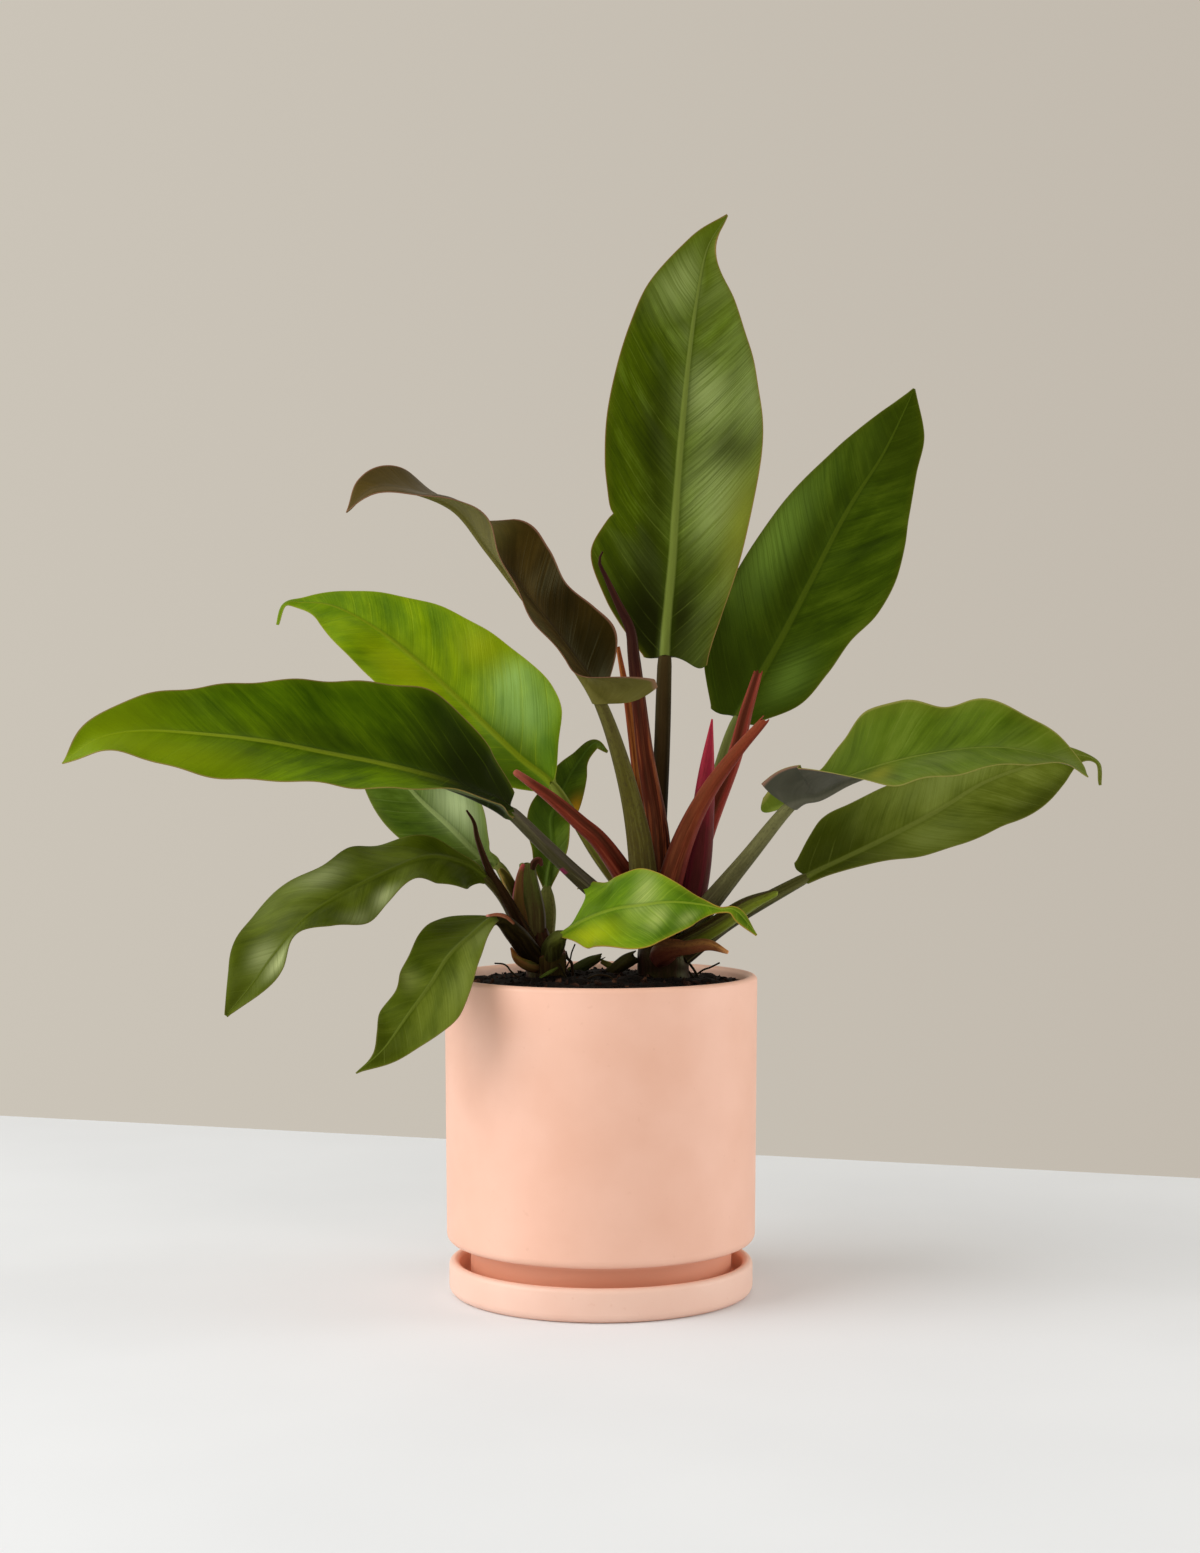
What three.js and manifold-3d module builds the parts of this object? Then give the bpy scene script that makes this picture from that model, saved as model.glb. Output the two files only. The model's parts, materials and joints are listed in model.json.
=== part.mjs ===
// A potted autumn philodendron: a self-heading aroid with broad, leathery, wavy leaves on thick
// stalks, in a straight-sided ceramic pot that stands in its matching saucer.
// Millimetres, +Z up, the front of the plant towards -Y. The origin is the middle of the
// saucer's underside.
import * as THREE from 'three';
import { mergeVertices } from 'three/addons/utils/BufferGeometryUtils.js';
import Module from 'manifold-3d';

const wasm = await Module();
wasm.setup();

// Driving dimensions of the pot, its saucer and the soil
const POT_DIAMETER = 180;
const POT_WALL = 6;
const POT_TOP = 182;
const POT_TAPER = 1.4;
const POT_SHOULDER = 29.5;
const POT_BEND = 5;
const POT_FLOOR = 8;
const POT_FOOT_DIAMETER = 150;
const FOOT_RING = 9;
const FOOT_RECESS = 3;
const DRAIN_HOLE_DIAMETER = 18;
const SAUCER_DIAMETER = 174.5;
const SAUCER_HEIGHT = 19;
const SAUCER_FLOOR = 5;
const SAUCER_WALL = 6;
const SAUCER_BEND = 5;
const SOIL_EDGE = 175;
const SOIL_MOUND = 6;
const SOIL_LUMP = 1.1;
const SOIL_RINGS = [74, 64, 54, 43, 31, 18, 6];
const ROUND_SEGMENTS = 40;

// Fits and thicknesses
const GAP = 0.3;
const BLADE_THICKNESS = 0.8;
const SLIVER = 0.03;
const STALK_UNDER_BLADE = 5;
const THINNEST = 0.6;

// How finely leaves, stalks and crowns are drawn
const BLADE_ROWS = 17;
const MID_COLUMN = 0.55;
const RIB_DEPTH = 1.7;
const STALK_SIDES = 7;
const STALK_STEPS = 8;
const SHEATH_STEPS = 8;
const CROWN_SIDES = 12;
const CROWN_STEPS = 7;
const CURVE_SAMPLES = 200;

// Colours of the finishes
const COLOURS = {
  ceramic: { color: 0xf0c3ad, roughness: 0.6 },
  soil: { color: 0x2a1d15, roughness: 0.95 },
  green: { color: 0x4c7a1e, roughness: 0.4 },
  darkGreen: { color: 0x2f5216, roughness: 0.4 },
  lime: { color: 0x7ba31a, roughness: 0.4 },
  bronze: { color: 0x4a3a22, roughness: 0.45 },
  olive: { color: 0x5c6a2c, roughness: 0.45 },
  redStem: { color: 0x7a3426, roughness: 0.5 },
  crimson: { color: 0x7a1f33, roughness: 0.5 },
  brownStem: { color: 0x4a2a24, roughness: 0.7 },
  tan: { color: 0x8a5a30, roughness: 0.6 },
};

const vector = (p) => new THREE.Vector3(...p);
const clamp = (x, low, high) => Math.min(high, Math.max(low, x));

// The value at share t of a list whose entries lie at even steps, joined by a smooth curve
function along(list, t) {
  const place = clamp(t, 0, 1) * (list.length - 1);
  const i = Math.min(Math.floor(place), list.length - 2);
  const f = place - i;
  const b = list[i];
  const c = list[i + 1];
  const a = i > 0 ? list[i - 1] : 2 * b - c;
  const d = i + 2 < list.length ? list[i + 2] : 2 * c - b;
  const bend = (2 * a - 5 * b + 4 * c - d) * f * f + (3 * b - a - 3 * c + d) * f * f * f;
  return b + 0.5 * ((c - a) * f + bend);
}

function directionAlong(list, t) {
  const parts = [0, 1, 2].map((axis) => along(list.map((v) => v[axis]), t));
  return vector(parts).normalize();
}

// A ring of points round a centre, in the plane of two directions
function ringAround(centre, across, up, sides, reachAt) {
  return Array.from({ length: sides }, (_, k) => {
    const angle = (2 * Math.PI * k) / sides;
    return centre.clone()
      .addScaledVector(across, reachAt(angle) * Math.cos(angle))
      .addScaledVector(up, reachAt(angle) * Math.sin(angle));
  });
}

function levelRing(height, radius, sides) {
  const [across, deep] = [new THREE.Vector3(1, 0, 0), new THREE.Vector3(0, 1, 0)];
  return ringAround(new THREE.Vector3(0, 0, height), across, deep, sides, () => radius);
}

// A closed mesh from rings of points of the same count, with a flat fan over each end
function tubeGeometry(rings) {
  const sides = rings[0].length;
  const points = rings.flat();
  const triangles = [];
  for (let i = 0; i + 1 < rings.length; i += 1) {
    for (let k = 0; k < sides; k += 1) {
      const a = i * sides + k;
      const b = i * sides + ((k + 1) % sides);
      triangles.push(a, b, b + sides, a, b + sides, a + sides);
    }
  }
  const addCap = (ring, flip) => {
    const start = ring * sides;
    const middle = points.length;
    const centre = new THREE.Vector3();
    for (let k = 0; k < sides; k += 1) centre.addScaledVector(points[start + k], 1 / sides);
    points.push(centre);
    for (let k = 0; k < sides; k += 1) {
      const a = start + k;
      const b = start + ((k + 1) % sides);
      triangles.push(middle, flip ? a : b, flip ? b : a);
    }
  };
  addCap(0, false);
  addCap(rings.length - 1, true);
  return geometryFrom(points, triangles);
}

function geometryFrom(points, triangles) {
  const geometry = new THREE.BufferGeometry();
  const numbers = points.flatMap((p) => p.toArray());
  geometry.setAttribute('position', new THREE.Float32BufferAttribute(numbers, 3));
  geometry.setIndex(triangles);
  return geometry;
}

function signedVolume(positions, index) {
  const [a, b, c] = [new THREE.Vector3(), new THREE.Vector3(), new THREE.Vector3()];
  let sum = 0;
  for (let i = 0; i < index.length; i += 3) {
    a.fromArray(positions, index[i] * 3);
    b.fromArray(positions, index[i + 1] * 3);
    c.fromArray(positions, index[i + 2] * 3);
    sum += a.dot(b.cross(c)) / 6;
  }
  return sum;
}

// A solid for the boolean library, with its faces turned outwards
function solidFrom(geometry) {
  const bare = geometry.clone();
  bare.deleteAttribute('normal');
  bare.deleteAttribute('uv');
  const merged = mergeVertices(bare, 1e-4);
  const positions = merged.attributes.position.array;
  const kept = [];
  const index = merged.index.array;
  for (let i = 0; i < index.length; i += 3) {
    const [a, b, c] = [index[i], index[i + 1], index[i + 2]];
    if (a !== b && b !== c && c !== a) kept.push(a, b, c);
  }
  if (signedVolume(positions, kept) < 0) kept.reverse();
  return new wasm.Manifold(new wasm.Mesh({
    numProp: 3,
    vertProperties: Float32Array.from(positions),
    triVerts: Uint32Array.from(kept),
  }));
}

// The solid as a mesh, without the slivers that cutting leaves
function geometryOf(solid) {
  const mesh = solid.setTolerance(SLIVER).simplify(SLIVER).getMesh();
  const geometry = new THREE.BufferGeometry();
  geometry.setAttribute('position', new THREE.Float32BufferAttribute(mesh.vertProperties, 3));
  geometry.setIndex(Array.from(mesh.triVerts));
  geometry.computeVertexNormals();
  return geometry;
}

// The largest body of a solid, so that no loose scrap of a cut is kept
function largestBody(solid) {
  return solid.decompose().reduce((best, next) => (next.volume() > best.volume() ? next : best));
}

// A turned solid from a profile of [radius, height] points
function turned(profile, segments = ROUND_SEGMENTS) {
  const geometry = new THREE.LatheGeometry(profile.map(([r, z]) => new THREE.Vector2(r, z)), segments);
  return geometry.rotateX(Math.PI / 2);
}

// Points of a quarter round between two directions, as part of a turned profile
function arc(centreRadius, centreHeight, radius, fromDegrees, toDegrees, steps) {
  return Array.from({ length: steps + 1 }, (_, i) => {
    const angle = THREE.MathUtils.degToRad(fromDegrees + ((toDegrees - fromDegrees) * i) / steps);
    return [centreRadius + radius * Math.cos(angle), centreHeight + radius * Math.sin(angle)];
  });
}

// The curve of a stalk and the rib that carries it on, with places on it by share of its length
function axisCurve(points) {
  const curve = new THREE.CatmullRomCurve3(points.map(vector), false, 'catmullrom', 0.5);
  curve.arcLengthDivisions = CURVE_SAMPLES;
  return curve;
}

// The share of the curve's length at its control point number i
function shareAt(curve, i) {
  const lengths = curve.getLengths(CURVE_SAMPLES);
  const place = (i / (curve.points.length - 1)) * CURVE_SAMPLES;
  const low = Math.floor(place);
  const part = place - low;
  const next = lengths[Math.min(low + 1, CURVE_SAMPLES)];
  return (lengths[low] + (next - lengths[low]) * part) / lengths[CURVE_SAMPLES];
}

// Directions at a place on a leaf's axis: along it, out of its upper face, and to its right.
// The way that the upper face looks is listed by share of the blade's own length.
function frameAt(leaf, share) {
  const tangent = leaf.curve.getTangentAt(clamp(share, 0, 1)).normalize();
  const bladeShare = (share - leaf.baseShare) / (1 - leaf.baseShare);
  const normal = directionAlong(leaf.face, bladeShare);
  normal.addScaledVector(tangent, -normal.dot(tangent)).normalize();
  return { tangent, normal, right: new THREE.Vector3().crossVectors(tangent, normal) };
}

// A tapered tube along part of a leaf's axis. It is sunk a little under the blade where it is the
// rib, and channelled along its upper face where it is a sheath.
function stalkGeometry(leaf, { from, to, steps, radius, sink, extra, channel = 0 }) {
  const rings = [];
  for (let i = 0; i <= steps; i += 1) {
    const share = clamp(from + ((to - from) * i) / steps, 0, 1);
    const { tangent, normal, right } = frameAt(leaf, share);
    const reach = Math.max(along(radius, i / steps), 0.4);
    const centre = leaf.curve.getPointAt(share).addScaledVector(normal, -sink * reach);
    if (i === 0) centre.addScaledVector(tangent, -extra);
    if (i === steps) centre.addScaledVector(tangent, extra);
    const channelAt = (angle) => channel * Math.max(Math.sin(angle), 0) ** 3 * (1 - i / steps);
    const reachAt = (angle) => reach * (1 - channelAt(angle)) + extra;
    rings.push(ringAround(centre, right, normal, STALK_SIDES, reachAt));
  }
  return tubeGeometry(rings);
}

// A point of a leaf blade's middle surface. s runs from the blade's base to its tip and v from
// its left margin at -1 to its right margin at 1. Behind the base the blade makes two round lobes.
function bladePoint(leaf, s, v) {
  const side = v < 0 ? leaf.left : leaf.right;
  const outwards = Math.abs(v);
  const back = (side.lobe / leaf.bladeLength) * Math.sin((Math.PI * outwards) / 1.3) * (1 - s) ** 4;
  const q = s - back;
  const share = leaf.baseShare + (1 - leaf.baseShare) * Math.max(q, 0);
  const { tangent, normal, right } = frameAt(leaf, share);
  const centre = leaf.curve.getPointAt(share);
  if (q < 0) centre.addScaledVector(tangent, q * leaf.bladeLength);
  const width = Math.max(along(side.width, q), THINNEST);
  const lift = along(side.lift, q) * outwards ** 1.5;
  return centre.addScaledVector(right, v * width).addScaledVector(normal, lift);
}

// A thin closed blade: an upper and a lower skin split into triangles alike, and a rim. The
// columns beside the middle one stand at the edges of the rib, which swells below the blade.
function bladeGeometry(leaf) {
  const columns = 6;
  const wide = columns + 1;
  const ribAt = (s) => along(leaf.ribRadius, s) * Math.sqrt(1 - s ** 4);
  const middle = [];
  for (let i = 0; i <= BLADE_ROWS; i += 1) {
    const t = i / BLADE_ROWS;
    const s = 0.5 * t + 0.25 * (1 - Math.cos(Math.PI * t));
    const beside = (side) => clamp(ribAt(s) / Math.max(along(side.width, s), THINNEST), 0.1, 0.3);
    const places = [-1, -MID_COLUMN, -beside(leaf.left), 0, beside(leaf.right), MID_COLUMN, 1];
    middle.push(...places.map((v) => ({ s, point: bladePoint(leaf, s, v) })));
  }
  const at = (i, k) => middle[clamp(i, 0, BLADE_ROWS) * wide + clamp(k, 0, columns)].point;
  const skin = (side) => middle.map(({ s, point }, n) => {
    const [i, k] = [Math.floor(n / wide), n % wide];
    const lengthwise = at(i + 1, k).clone().sub(at(i - 1, k));
    const crosswise = at(i, k + 1).clone().sub(at(i, k - 1));
    const swell = k === 3 ? ribAt(s) * (side > 0 ? 0.2 : RIB_DEPTH) : 0;
    const reach = side * (BLADE_THICKNESS / 2 + swell);
    return point.clone().addScaledVector(crosswise.cross(lengthwise).normalize(), -reach);
  });
  const points = [...skin(1), ...skin(-1)];
  const under = middle.length;
  const triangles = [];
  for (let i = 0; i < BLADE_ROWS; i += 1) {
    for (let k = 0; k < columns; k += 1) {
      const [a, b] = [i * wide + k, i * wide + k + 1];
      const [c, d] = [a + wide, b + wide];
      triangles.push(a, b, d, a, d, c);
      triangles.push(under + a, under + d, under + b, under + a, under + c, under + d);
    }
  }
  const rim = [];
  for (let k = 0; k < columns; k += 1) rim.push(k);
  for (let i = 0; i < BLADE_ROWS; i += 1) rim.push(i * wide + columns);
  for (let k = columns; k > 0; k -= 1) rim.push(BLADE_ROWS * wide + k);
  for (let i = BLADE_ROWS; i > 0; i -= 1) rim.push(i * wide);
  rim.forEach((a, n) => {
    const b = rim[(n + 1) % rim.length];
    triangles.push(a, under + b, b, a, under + a, under + b);
  });
  return geometryFrom(points, triangles);
}

// The crowns: short thick stems that stand in holes in the soil
const MAIN_CROWN = {
  name: 'main_stem', foot: [37, 8, 140], top: [35, 6, 222], radius: [12, 14.5, 15.5, 14, 6],
};
const SIDE_CROWN = {
  name: 'side_stem', foot: [-31, 8, 145], top: [-35, 6, 208], radius: [8, 10, 11, 9, 4],
};

const LEAVES = [
  {
    name: 'leaf_tall', colour: 'green',
    stalk: [[33, 17, 214], [33, 24, 259], [36, 36, 311], [38, 46, 367]],
    rib: [
      [40, 54, 395], [43, 62, 426], [47, 76, 481], [53, 90, 544], [59, 102, 589],
      [66, 112, 623], [76, 120, 645],
    ],
    radius: [7, 5, 4.2, 3.8], ribRadius: [3.4, 2.2, 0.8],
    face: [[-0.1, -1, 0.1], [0, -1, 0.1], [0.1, -1, 0.1], [0.3, -1, 0]],
    left: {
      lobe: 5,
      width: [11, 37, 49.5, 40, 45, 46.5, 44, 39, 31, 18, 0.6],
      lift: [0, 4, 8, 1, 5, 3, 5, 4, 2, 1, 0],
    },
    right: {
      lobe: 10,
      width: [21, 34, 40, 45, 48.5, 49.5, 44, 35.5, 22.5, 6, 0.6],
      lift: [0, 2, 5, 3, 7, 4, 6, 5, 4, 3, 0],
    },
  },
  {
    name: 'leaf_right_upright', colour: 'darkGreen',
    stalk: [[50, 18, 219], [65, 30, 270], [80, 44, 302], [93, 56, 341]],
    rib: [
      [109, 66, 379], [128, 76, 415], [151, 88, 458], [173, 100, 492], [186, 106, 517],
      [194, 104, 535],
    ],
    radius: [6, 4.2, 3.4, 3], ribRadius: [2.6, 1.8, 0.8],
    face: [[-0.1, -1, 0.1], [0, -1, 0.1], [0, -1, 0.1]],
    left: {
      lobe: 12,
      width: [20.5, 40, 42, 42, 41, 37.5, 33.5, 27.5, 22.5, 13.5, 0.6],
      lift: [0, 3, 6, 6, 5, 4, 4, 3, 2, 1, 0],
    },
    right: {
      lobe: 12,
      width: [18.5, 33, 34, 42, 46, 45.5, 39.5, 32, 23, 17, 0.6],
      lift: [0, 6, 10.5, 2, 4, 6, 3, 4, 3, 2, 0],
    },
  },
  {
    name: 'leaf_bronze', colour: 'bronze',
    stalk: [[27, -4, 214], [22, -16, 260], [12, -30, 303], [-1, -44, 339]],
    rib: [
      [-17, -52, 364], [-39, -62, 393], [-61, -72, 421], [-80, -80, 443], [-106, -90, 452],
      [-123, -98, 451], [-136, -104, 438],
    ],
    radius: [9.5, 7.4, 5, 3.6], ribRadius: [2.4, 1.6, 0.7],
    face: [[0.85, 0, 0.5], [0.8, 0, 0.6], [0.75, 0, 0.65], [0.6, 0, 0.8], [0.1, 0, 1], [-0.2, 0, 1]],
    left: {
      lobe: 14,
      width: [13.5, 26, 30, 31.5, 31.5, 31, 29, 26, 21, 11.5, 0.6],
      lift: [29, 4, -4, -6, -3.5, 0, 6, 2, -5, -3, 0],
    },
    right: {
      lobe: 2,
      width: [9.5, 15.5, 19, 20, 19, 21, 28, 26, 19, 10.5, 0.6],
      lift: [6, 27, 27.5, 22, 27.5, 25, 4, 4, 13.5, 8.5, 0],
    },
  },
  {
    name: 'leaf_wavy_right', colour: 'green',
    stalk: [[50, -1, 208], [81, -24, 248], [107, -42, 281]],
    rib: [
      [122, -48, 287], [139, -54, 296], [165, -66, 305], [190, -78, 310], [215, -90, 312],
      [238, -98, 308], [252, -104, 303], [259, -110, 297],
    ],
    radius: [7, 5, 3.4], ribRadius: [2.4, 1.6, 0.7],
    face: [[-0.6, -0.1, 0.8], [-0.2, -0.1, 1], [0, -0.1, 1], [0, -0.1, 1], [0.2, -0.1, 1]],
    left: {
      lobe: 17,
      width: [8, 19, 21, 20, 21, 21, 21, 19, 16.5, 10.5, 0.6],
      lift: [14, 10, 17, 32, 31.5, 25, 26, 22, 15.5, 6.5, 0],
    },
    right: {
      lobe: 2,
      width: [9.5, 21, 28, 31.5, 32.5, 32.5, 30.5, 28, 23, 13.5, 0.6],
      lift: [21, 13.5, 3.5, -5.5, -10.5, -11.5, -10.5, -8.5, -4, -1, 0],
    },
  },
  {
    name: 'leaf_right_low', colour: 'darkGreen',
    stalk: [[47, 3, 192], [74, 6, 212], [120, 14, 237]],
    rib: [
      [141, 18, 247], [167, 26, 259], [199, 36, 275], [227, 46, 291], [255, 56, 301],
      [282, 62, 308], [299, 64, 304], [300, 60, 290],
    ],
    radius: [6, 4.5, 3], ribRadius: [2.2, 1.5, 0.7],
    face: [[-0.2, -0.9, 0.3], [-0.1, -0.9, 0.35], [0, -0.9, 0.4], [0.3, -0.9, 0.5]],
    left: {
      lobe: 3,
      width: [6, 22.5, 27, 27, 25.5, 23.5, 20.5, 16.5, 9, 2.5, 0.6],
      lift: [0, 4, 6, 6, 5, 4, 3, 2, 1, 0, 0],
    },
    right: {
      lobe: 2,
      width: [4, 8, 14.5, 21.5, 25.5, 29, 31, 28, 17.5, 3, 0.6],
      lift: [0, 5, 7, 6, 4, 3, 4, 3, 1, 0, 0],
    },
  },
  {
    name: 'leaf_lime', colour: 'lime',
    stalk: [[24, 14, 217], [0, 26, 247], [-15, 38, 270], [-30, 52, 291]],
    rib: [
      [-51, 64, 308], [-86, 90, 341], [-114, 110, 366], [-141, 126, 387], [-169, 140, 402],
      [-191, 148, 405], [-202, 150, 404], [-206, 148, 391],
    ],
    radius: [5.5, 4.2, 3.4, 3], ribRadius: [2.6, 1.6, 0.7],
    face: [[-0.1, -0.85, 0.45], [-0.1, -0.8, 0.5], [-0.15, -0.7, 0.6], [-0.3, -0.6, 0.7]],
    left: {
      lobe: 6,
      width: [8.5, 23, 30, 32, 32, 30, 28, 25, 18, 5, 0.6],
      lift: [0, 3, 4, 3, 2, 2, 1, 1, 0, 0, 0],
    },
    right: {
      lobe: 6,
      width: [12.5, 36.5, 44.5, 46.5, 45.5, 42.5, 36.5, 26, 15.5, 5, 0.6],
      lift: [0, 4, 6, 5, 5, 4, 3, 2, 1, 0, 0],
    },
  },
  {
    name: 'leaf_left_long', colour: 'green',
    stalk: [[26, -1, 205], [-8, -12, 234], [-32, -22, 257], [-52, -34, 277]],
    rib: [
      [-67, -42, 286], [-87, -52, 294], [-112, -64, 301], [-145, -78, 308],
      [-178, -92, 315], [-210, -104, 319], [-242, -114, 321], [-265, -120, 317],
      [-284, -122, 304],
    ],
    radius: [6, 5, 4.2, 3.6], ribRadius: [3, 2, 0.8],
    face: [[-0.2, -0.62, 0.78], [0, -0.62, 0.78], [0, -0.62, 0.78], [-0.2, -0.62, 0.78]],
    left: {
      lobe: 4,
      width: [6, 24, 26, 30, 34, 33, 30.5, 28, 22, 14, 0.6],
      lift: [2, 14, 12, 8, 6, 3, -4, -6, -4, 0, 0],
    },
    right: {
      lobe: 6,
      width: [6, 26, 41.5, 42.5, 41, 36.5, 33, 26.5, 20, 11.5, 0.6],
      lift: [3, 15.5, 27, 26, 22, 19.5, 14.5, 12.5, 10.5, 7, 0],
    },
  },
  {
    name: 'leaf_left_back', colour: 'green',
    stalk: [[-42, 12, 198], [-52, 28, 227], [-61, 38, 243]],
    rib: [
      [-71, 44, 247], [-91, 60, 265], [-111, 76, 282], [-130, 92, 302], [-149, 106, 320],
      [-164, 114, 329],
    ],
    radius: [5, 4.4, 2.8], ribRadius: [2.2, 1.4, 0.7],
    face: [[-0.2, -0.95, 0.1], [-0.1, -0.95, 0.2], [-0.1, -0.9, 0.3]],
    left: {
      lobe: 4,
      width: [5, 15.5, 21.5, 24.5, 25.5, 25.5, 23.5, 19.5, 13.5, 6, 0.6],
      lift: [0, 2, 4, 4, 4, 3, 3, 2, 1, 0, 0],
    },
    right: {
      lobe: 4,
      width: [5, 16.5, 22.5, 26.5, 27.5, 26.5, 23.5, 19.5, 13.5, 6, 0.6],
      lift: [0, 3, 5, 5, 5, 4, 3, 2, 1, 0, 0],
    },
  },
  {
    name: 'leaf_left_curly', colour: 'darkGreen',
    stalk: [[-42, 3, 200], [-55, -6, 225], [-67, -14, 239]],
    rib: [
      [-79, -22, 247], [-96, -34, 251], [-115, -44, 245], [-142, -58, 232],
      [-162, -68, 219], [-178, -76, 200], [-190, -82, 183], [-203, -86, 167],
    ],
    radius: [5, 3.6, 2.6], ribRadius: [2, 1.3, 0.7],
    face: [[-0.1, -0.8, 0.6], [-0.1, -0.8, 0.6], [-0.3, -0.8, 0.5], [-0.4, -0.85, 0.3]],
    left: {
      lobe: 3,
      width: [5, 20.5, 16.5, 15.5, 16.5, 21.5, 18.5, 10, 11.5, 8, 0.6],
      lift: [0, 3, -4, 5, -4, -6, 4, 9, 2, 0, 0],
    },
    right: {
      lobe: 0,
      width: [2, 5, 14, 23.5, 23.5, 20.5, 26.5, 31.5, 25.5, 16.5, 0.6],
      lift: [0, 3, 2, -5, 3, 6, 0, -4, 1, 2, 0],
    },
  },
  {
    name: 'leaf_left_droop', colour: 'darkGreen',
    stalk: [[-39, -2, 192], [-49, -18, 207], [-59, -32, 216]],
    rib: [
      [-73, -48, 207], [-84, -62, 197], [-93, -74, 183], [-104, -84, 168], [-117, -94, 150],
      [-131, -102, 138],
    ],
    radius: [7, 6, 2.8], ribRadius: [2, 1.3, 0.7],
    face: [[-0.3, -0.6, 0.7], [-0.3, -0.8, 0.5], [-0.3, -0.85, 0.35], [-0.4, -0.85, 0.3]],
    left: {
      lobe: 0,
      width: [2, 9, 14, 18.5, 22, 25, 27.5, 24, 15, 7, 0.6],
      lift: [0, 2, 4, 3, 1, 2, 4, 3, 1, 0, 0],
    },
    right: {
      lobe: 2,
      width: [4, 21, 24, 23, 19, 19, 13, 17, 8, 2, 0.6],
      lift: [0, 2, 3, 4, 6, 2, 5, -2, 3, 1, 0],
    },
  },
  {
    name: 'leaf_back_hook', colour: 'green',
    stalk: [[-32, 16, 188], [-32, 26, 205], [-32, 36, 229]],
    rib: [
      [-29, 46, 252], [-30, 56, 270], [-26, 64, 281], [-20, 72, 294], [-13, 80, 305],
      [-4, 86, 315], [4, 90, 310],
    ],
    radius: [4.6, 5, 2.2], ribRadius: [1.8, 1.2, 0.7],
    face: [[0, -1, 0.2], [0, -1, 0.3], [0.1, -0.9, 0.4], [0, -0.8, 0.7]],
    left: {
      lobe: 0,
      width: [2, 9, 12, 14, 14, 12, 11, 9, 6, 4, 0.6],
      lift: [0, 2, 3, 2, 3, 4, 3, 1, 0, 0, 0],
    },
    right: {
      lobe: 0,
      width: [2, 6, 9, 11, 12, 14, 13, 10, 5, 4, 0.6],
      lift: [0, 2, 3, 4, 2, -2, 2, 2, 0, 0, 0],
    },
  },
  {
    name: 'leaf_front', colour: 'lime',
    stalk: [[-31, -1, 190], [-27, -10, 199], [-22, -20, 206]],
    rib: [
      [-7, -34, 216], [8, -46, 222], [24, -56, 225], [39, -63, 227], [55, -69, 226],
      [65, -73, 224], [74, -75, 223], [85, -76, 210],
    ],
    radius: [6.5, 6, 2.4], ribRadius: [1.8, 1.2, 0.7],
    face: [[-0.1, -0.75, 0.65], [-0.1, -0.75, 0.65], [0, -0.75, 0.65], [0.2, -0.75, 0.65]],
    left: {
      lobe: 0,
      width: [2, 5, 28, 26, 24.5, 24, 15, 6, 3, 2.5, 0.6],
      lift: [0, 2, -4, 2, 4, 2, 2, 1, 0, 0, 0],
    },
    right: {
      lobe: 0,
      width: [2, 12, 22, 28, 30, 33, 29, 19, 6.5, 4, 0.6],
      lift: [0, 2, 1, 4, 2, 4, 2, 1, 0, 0, 0],
    },
  },
];

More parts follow.
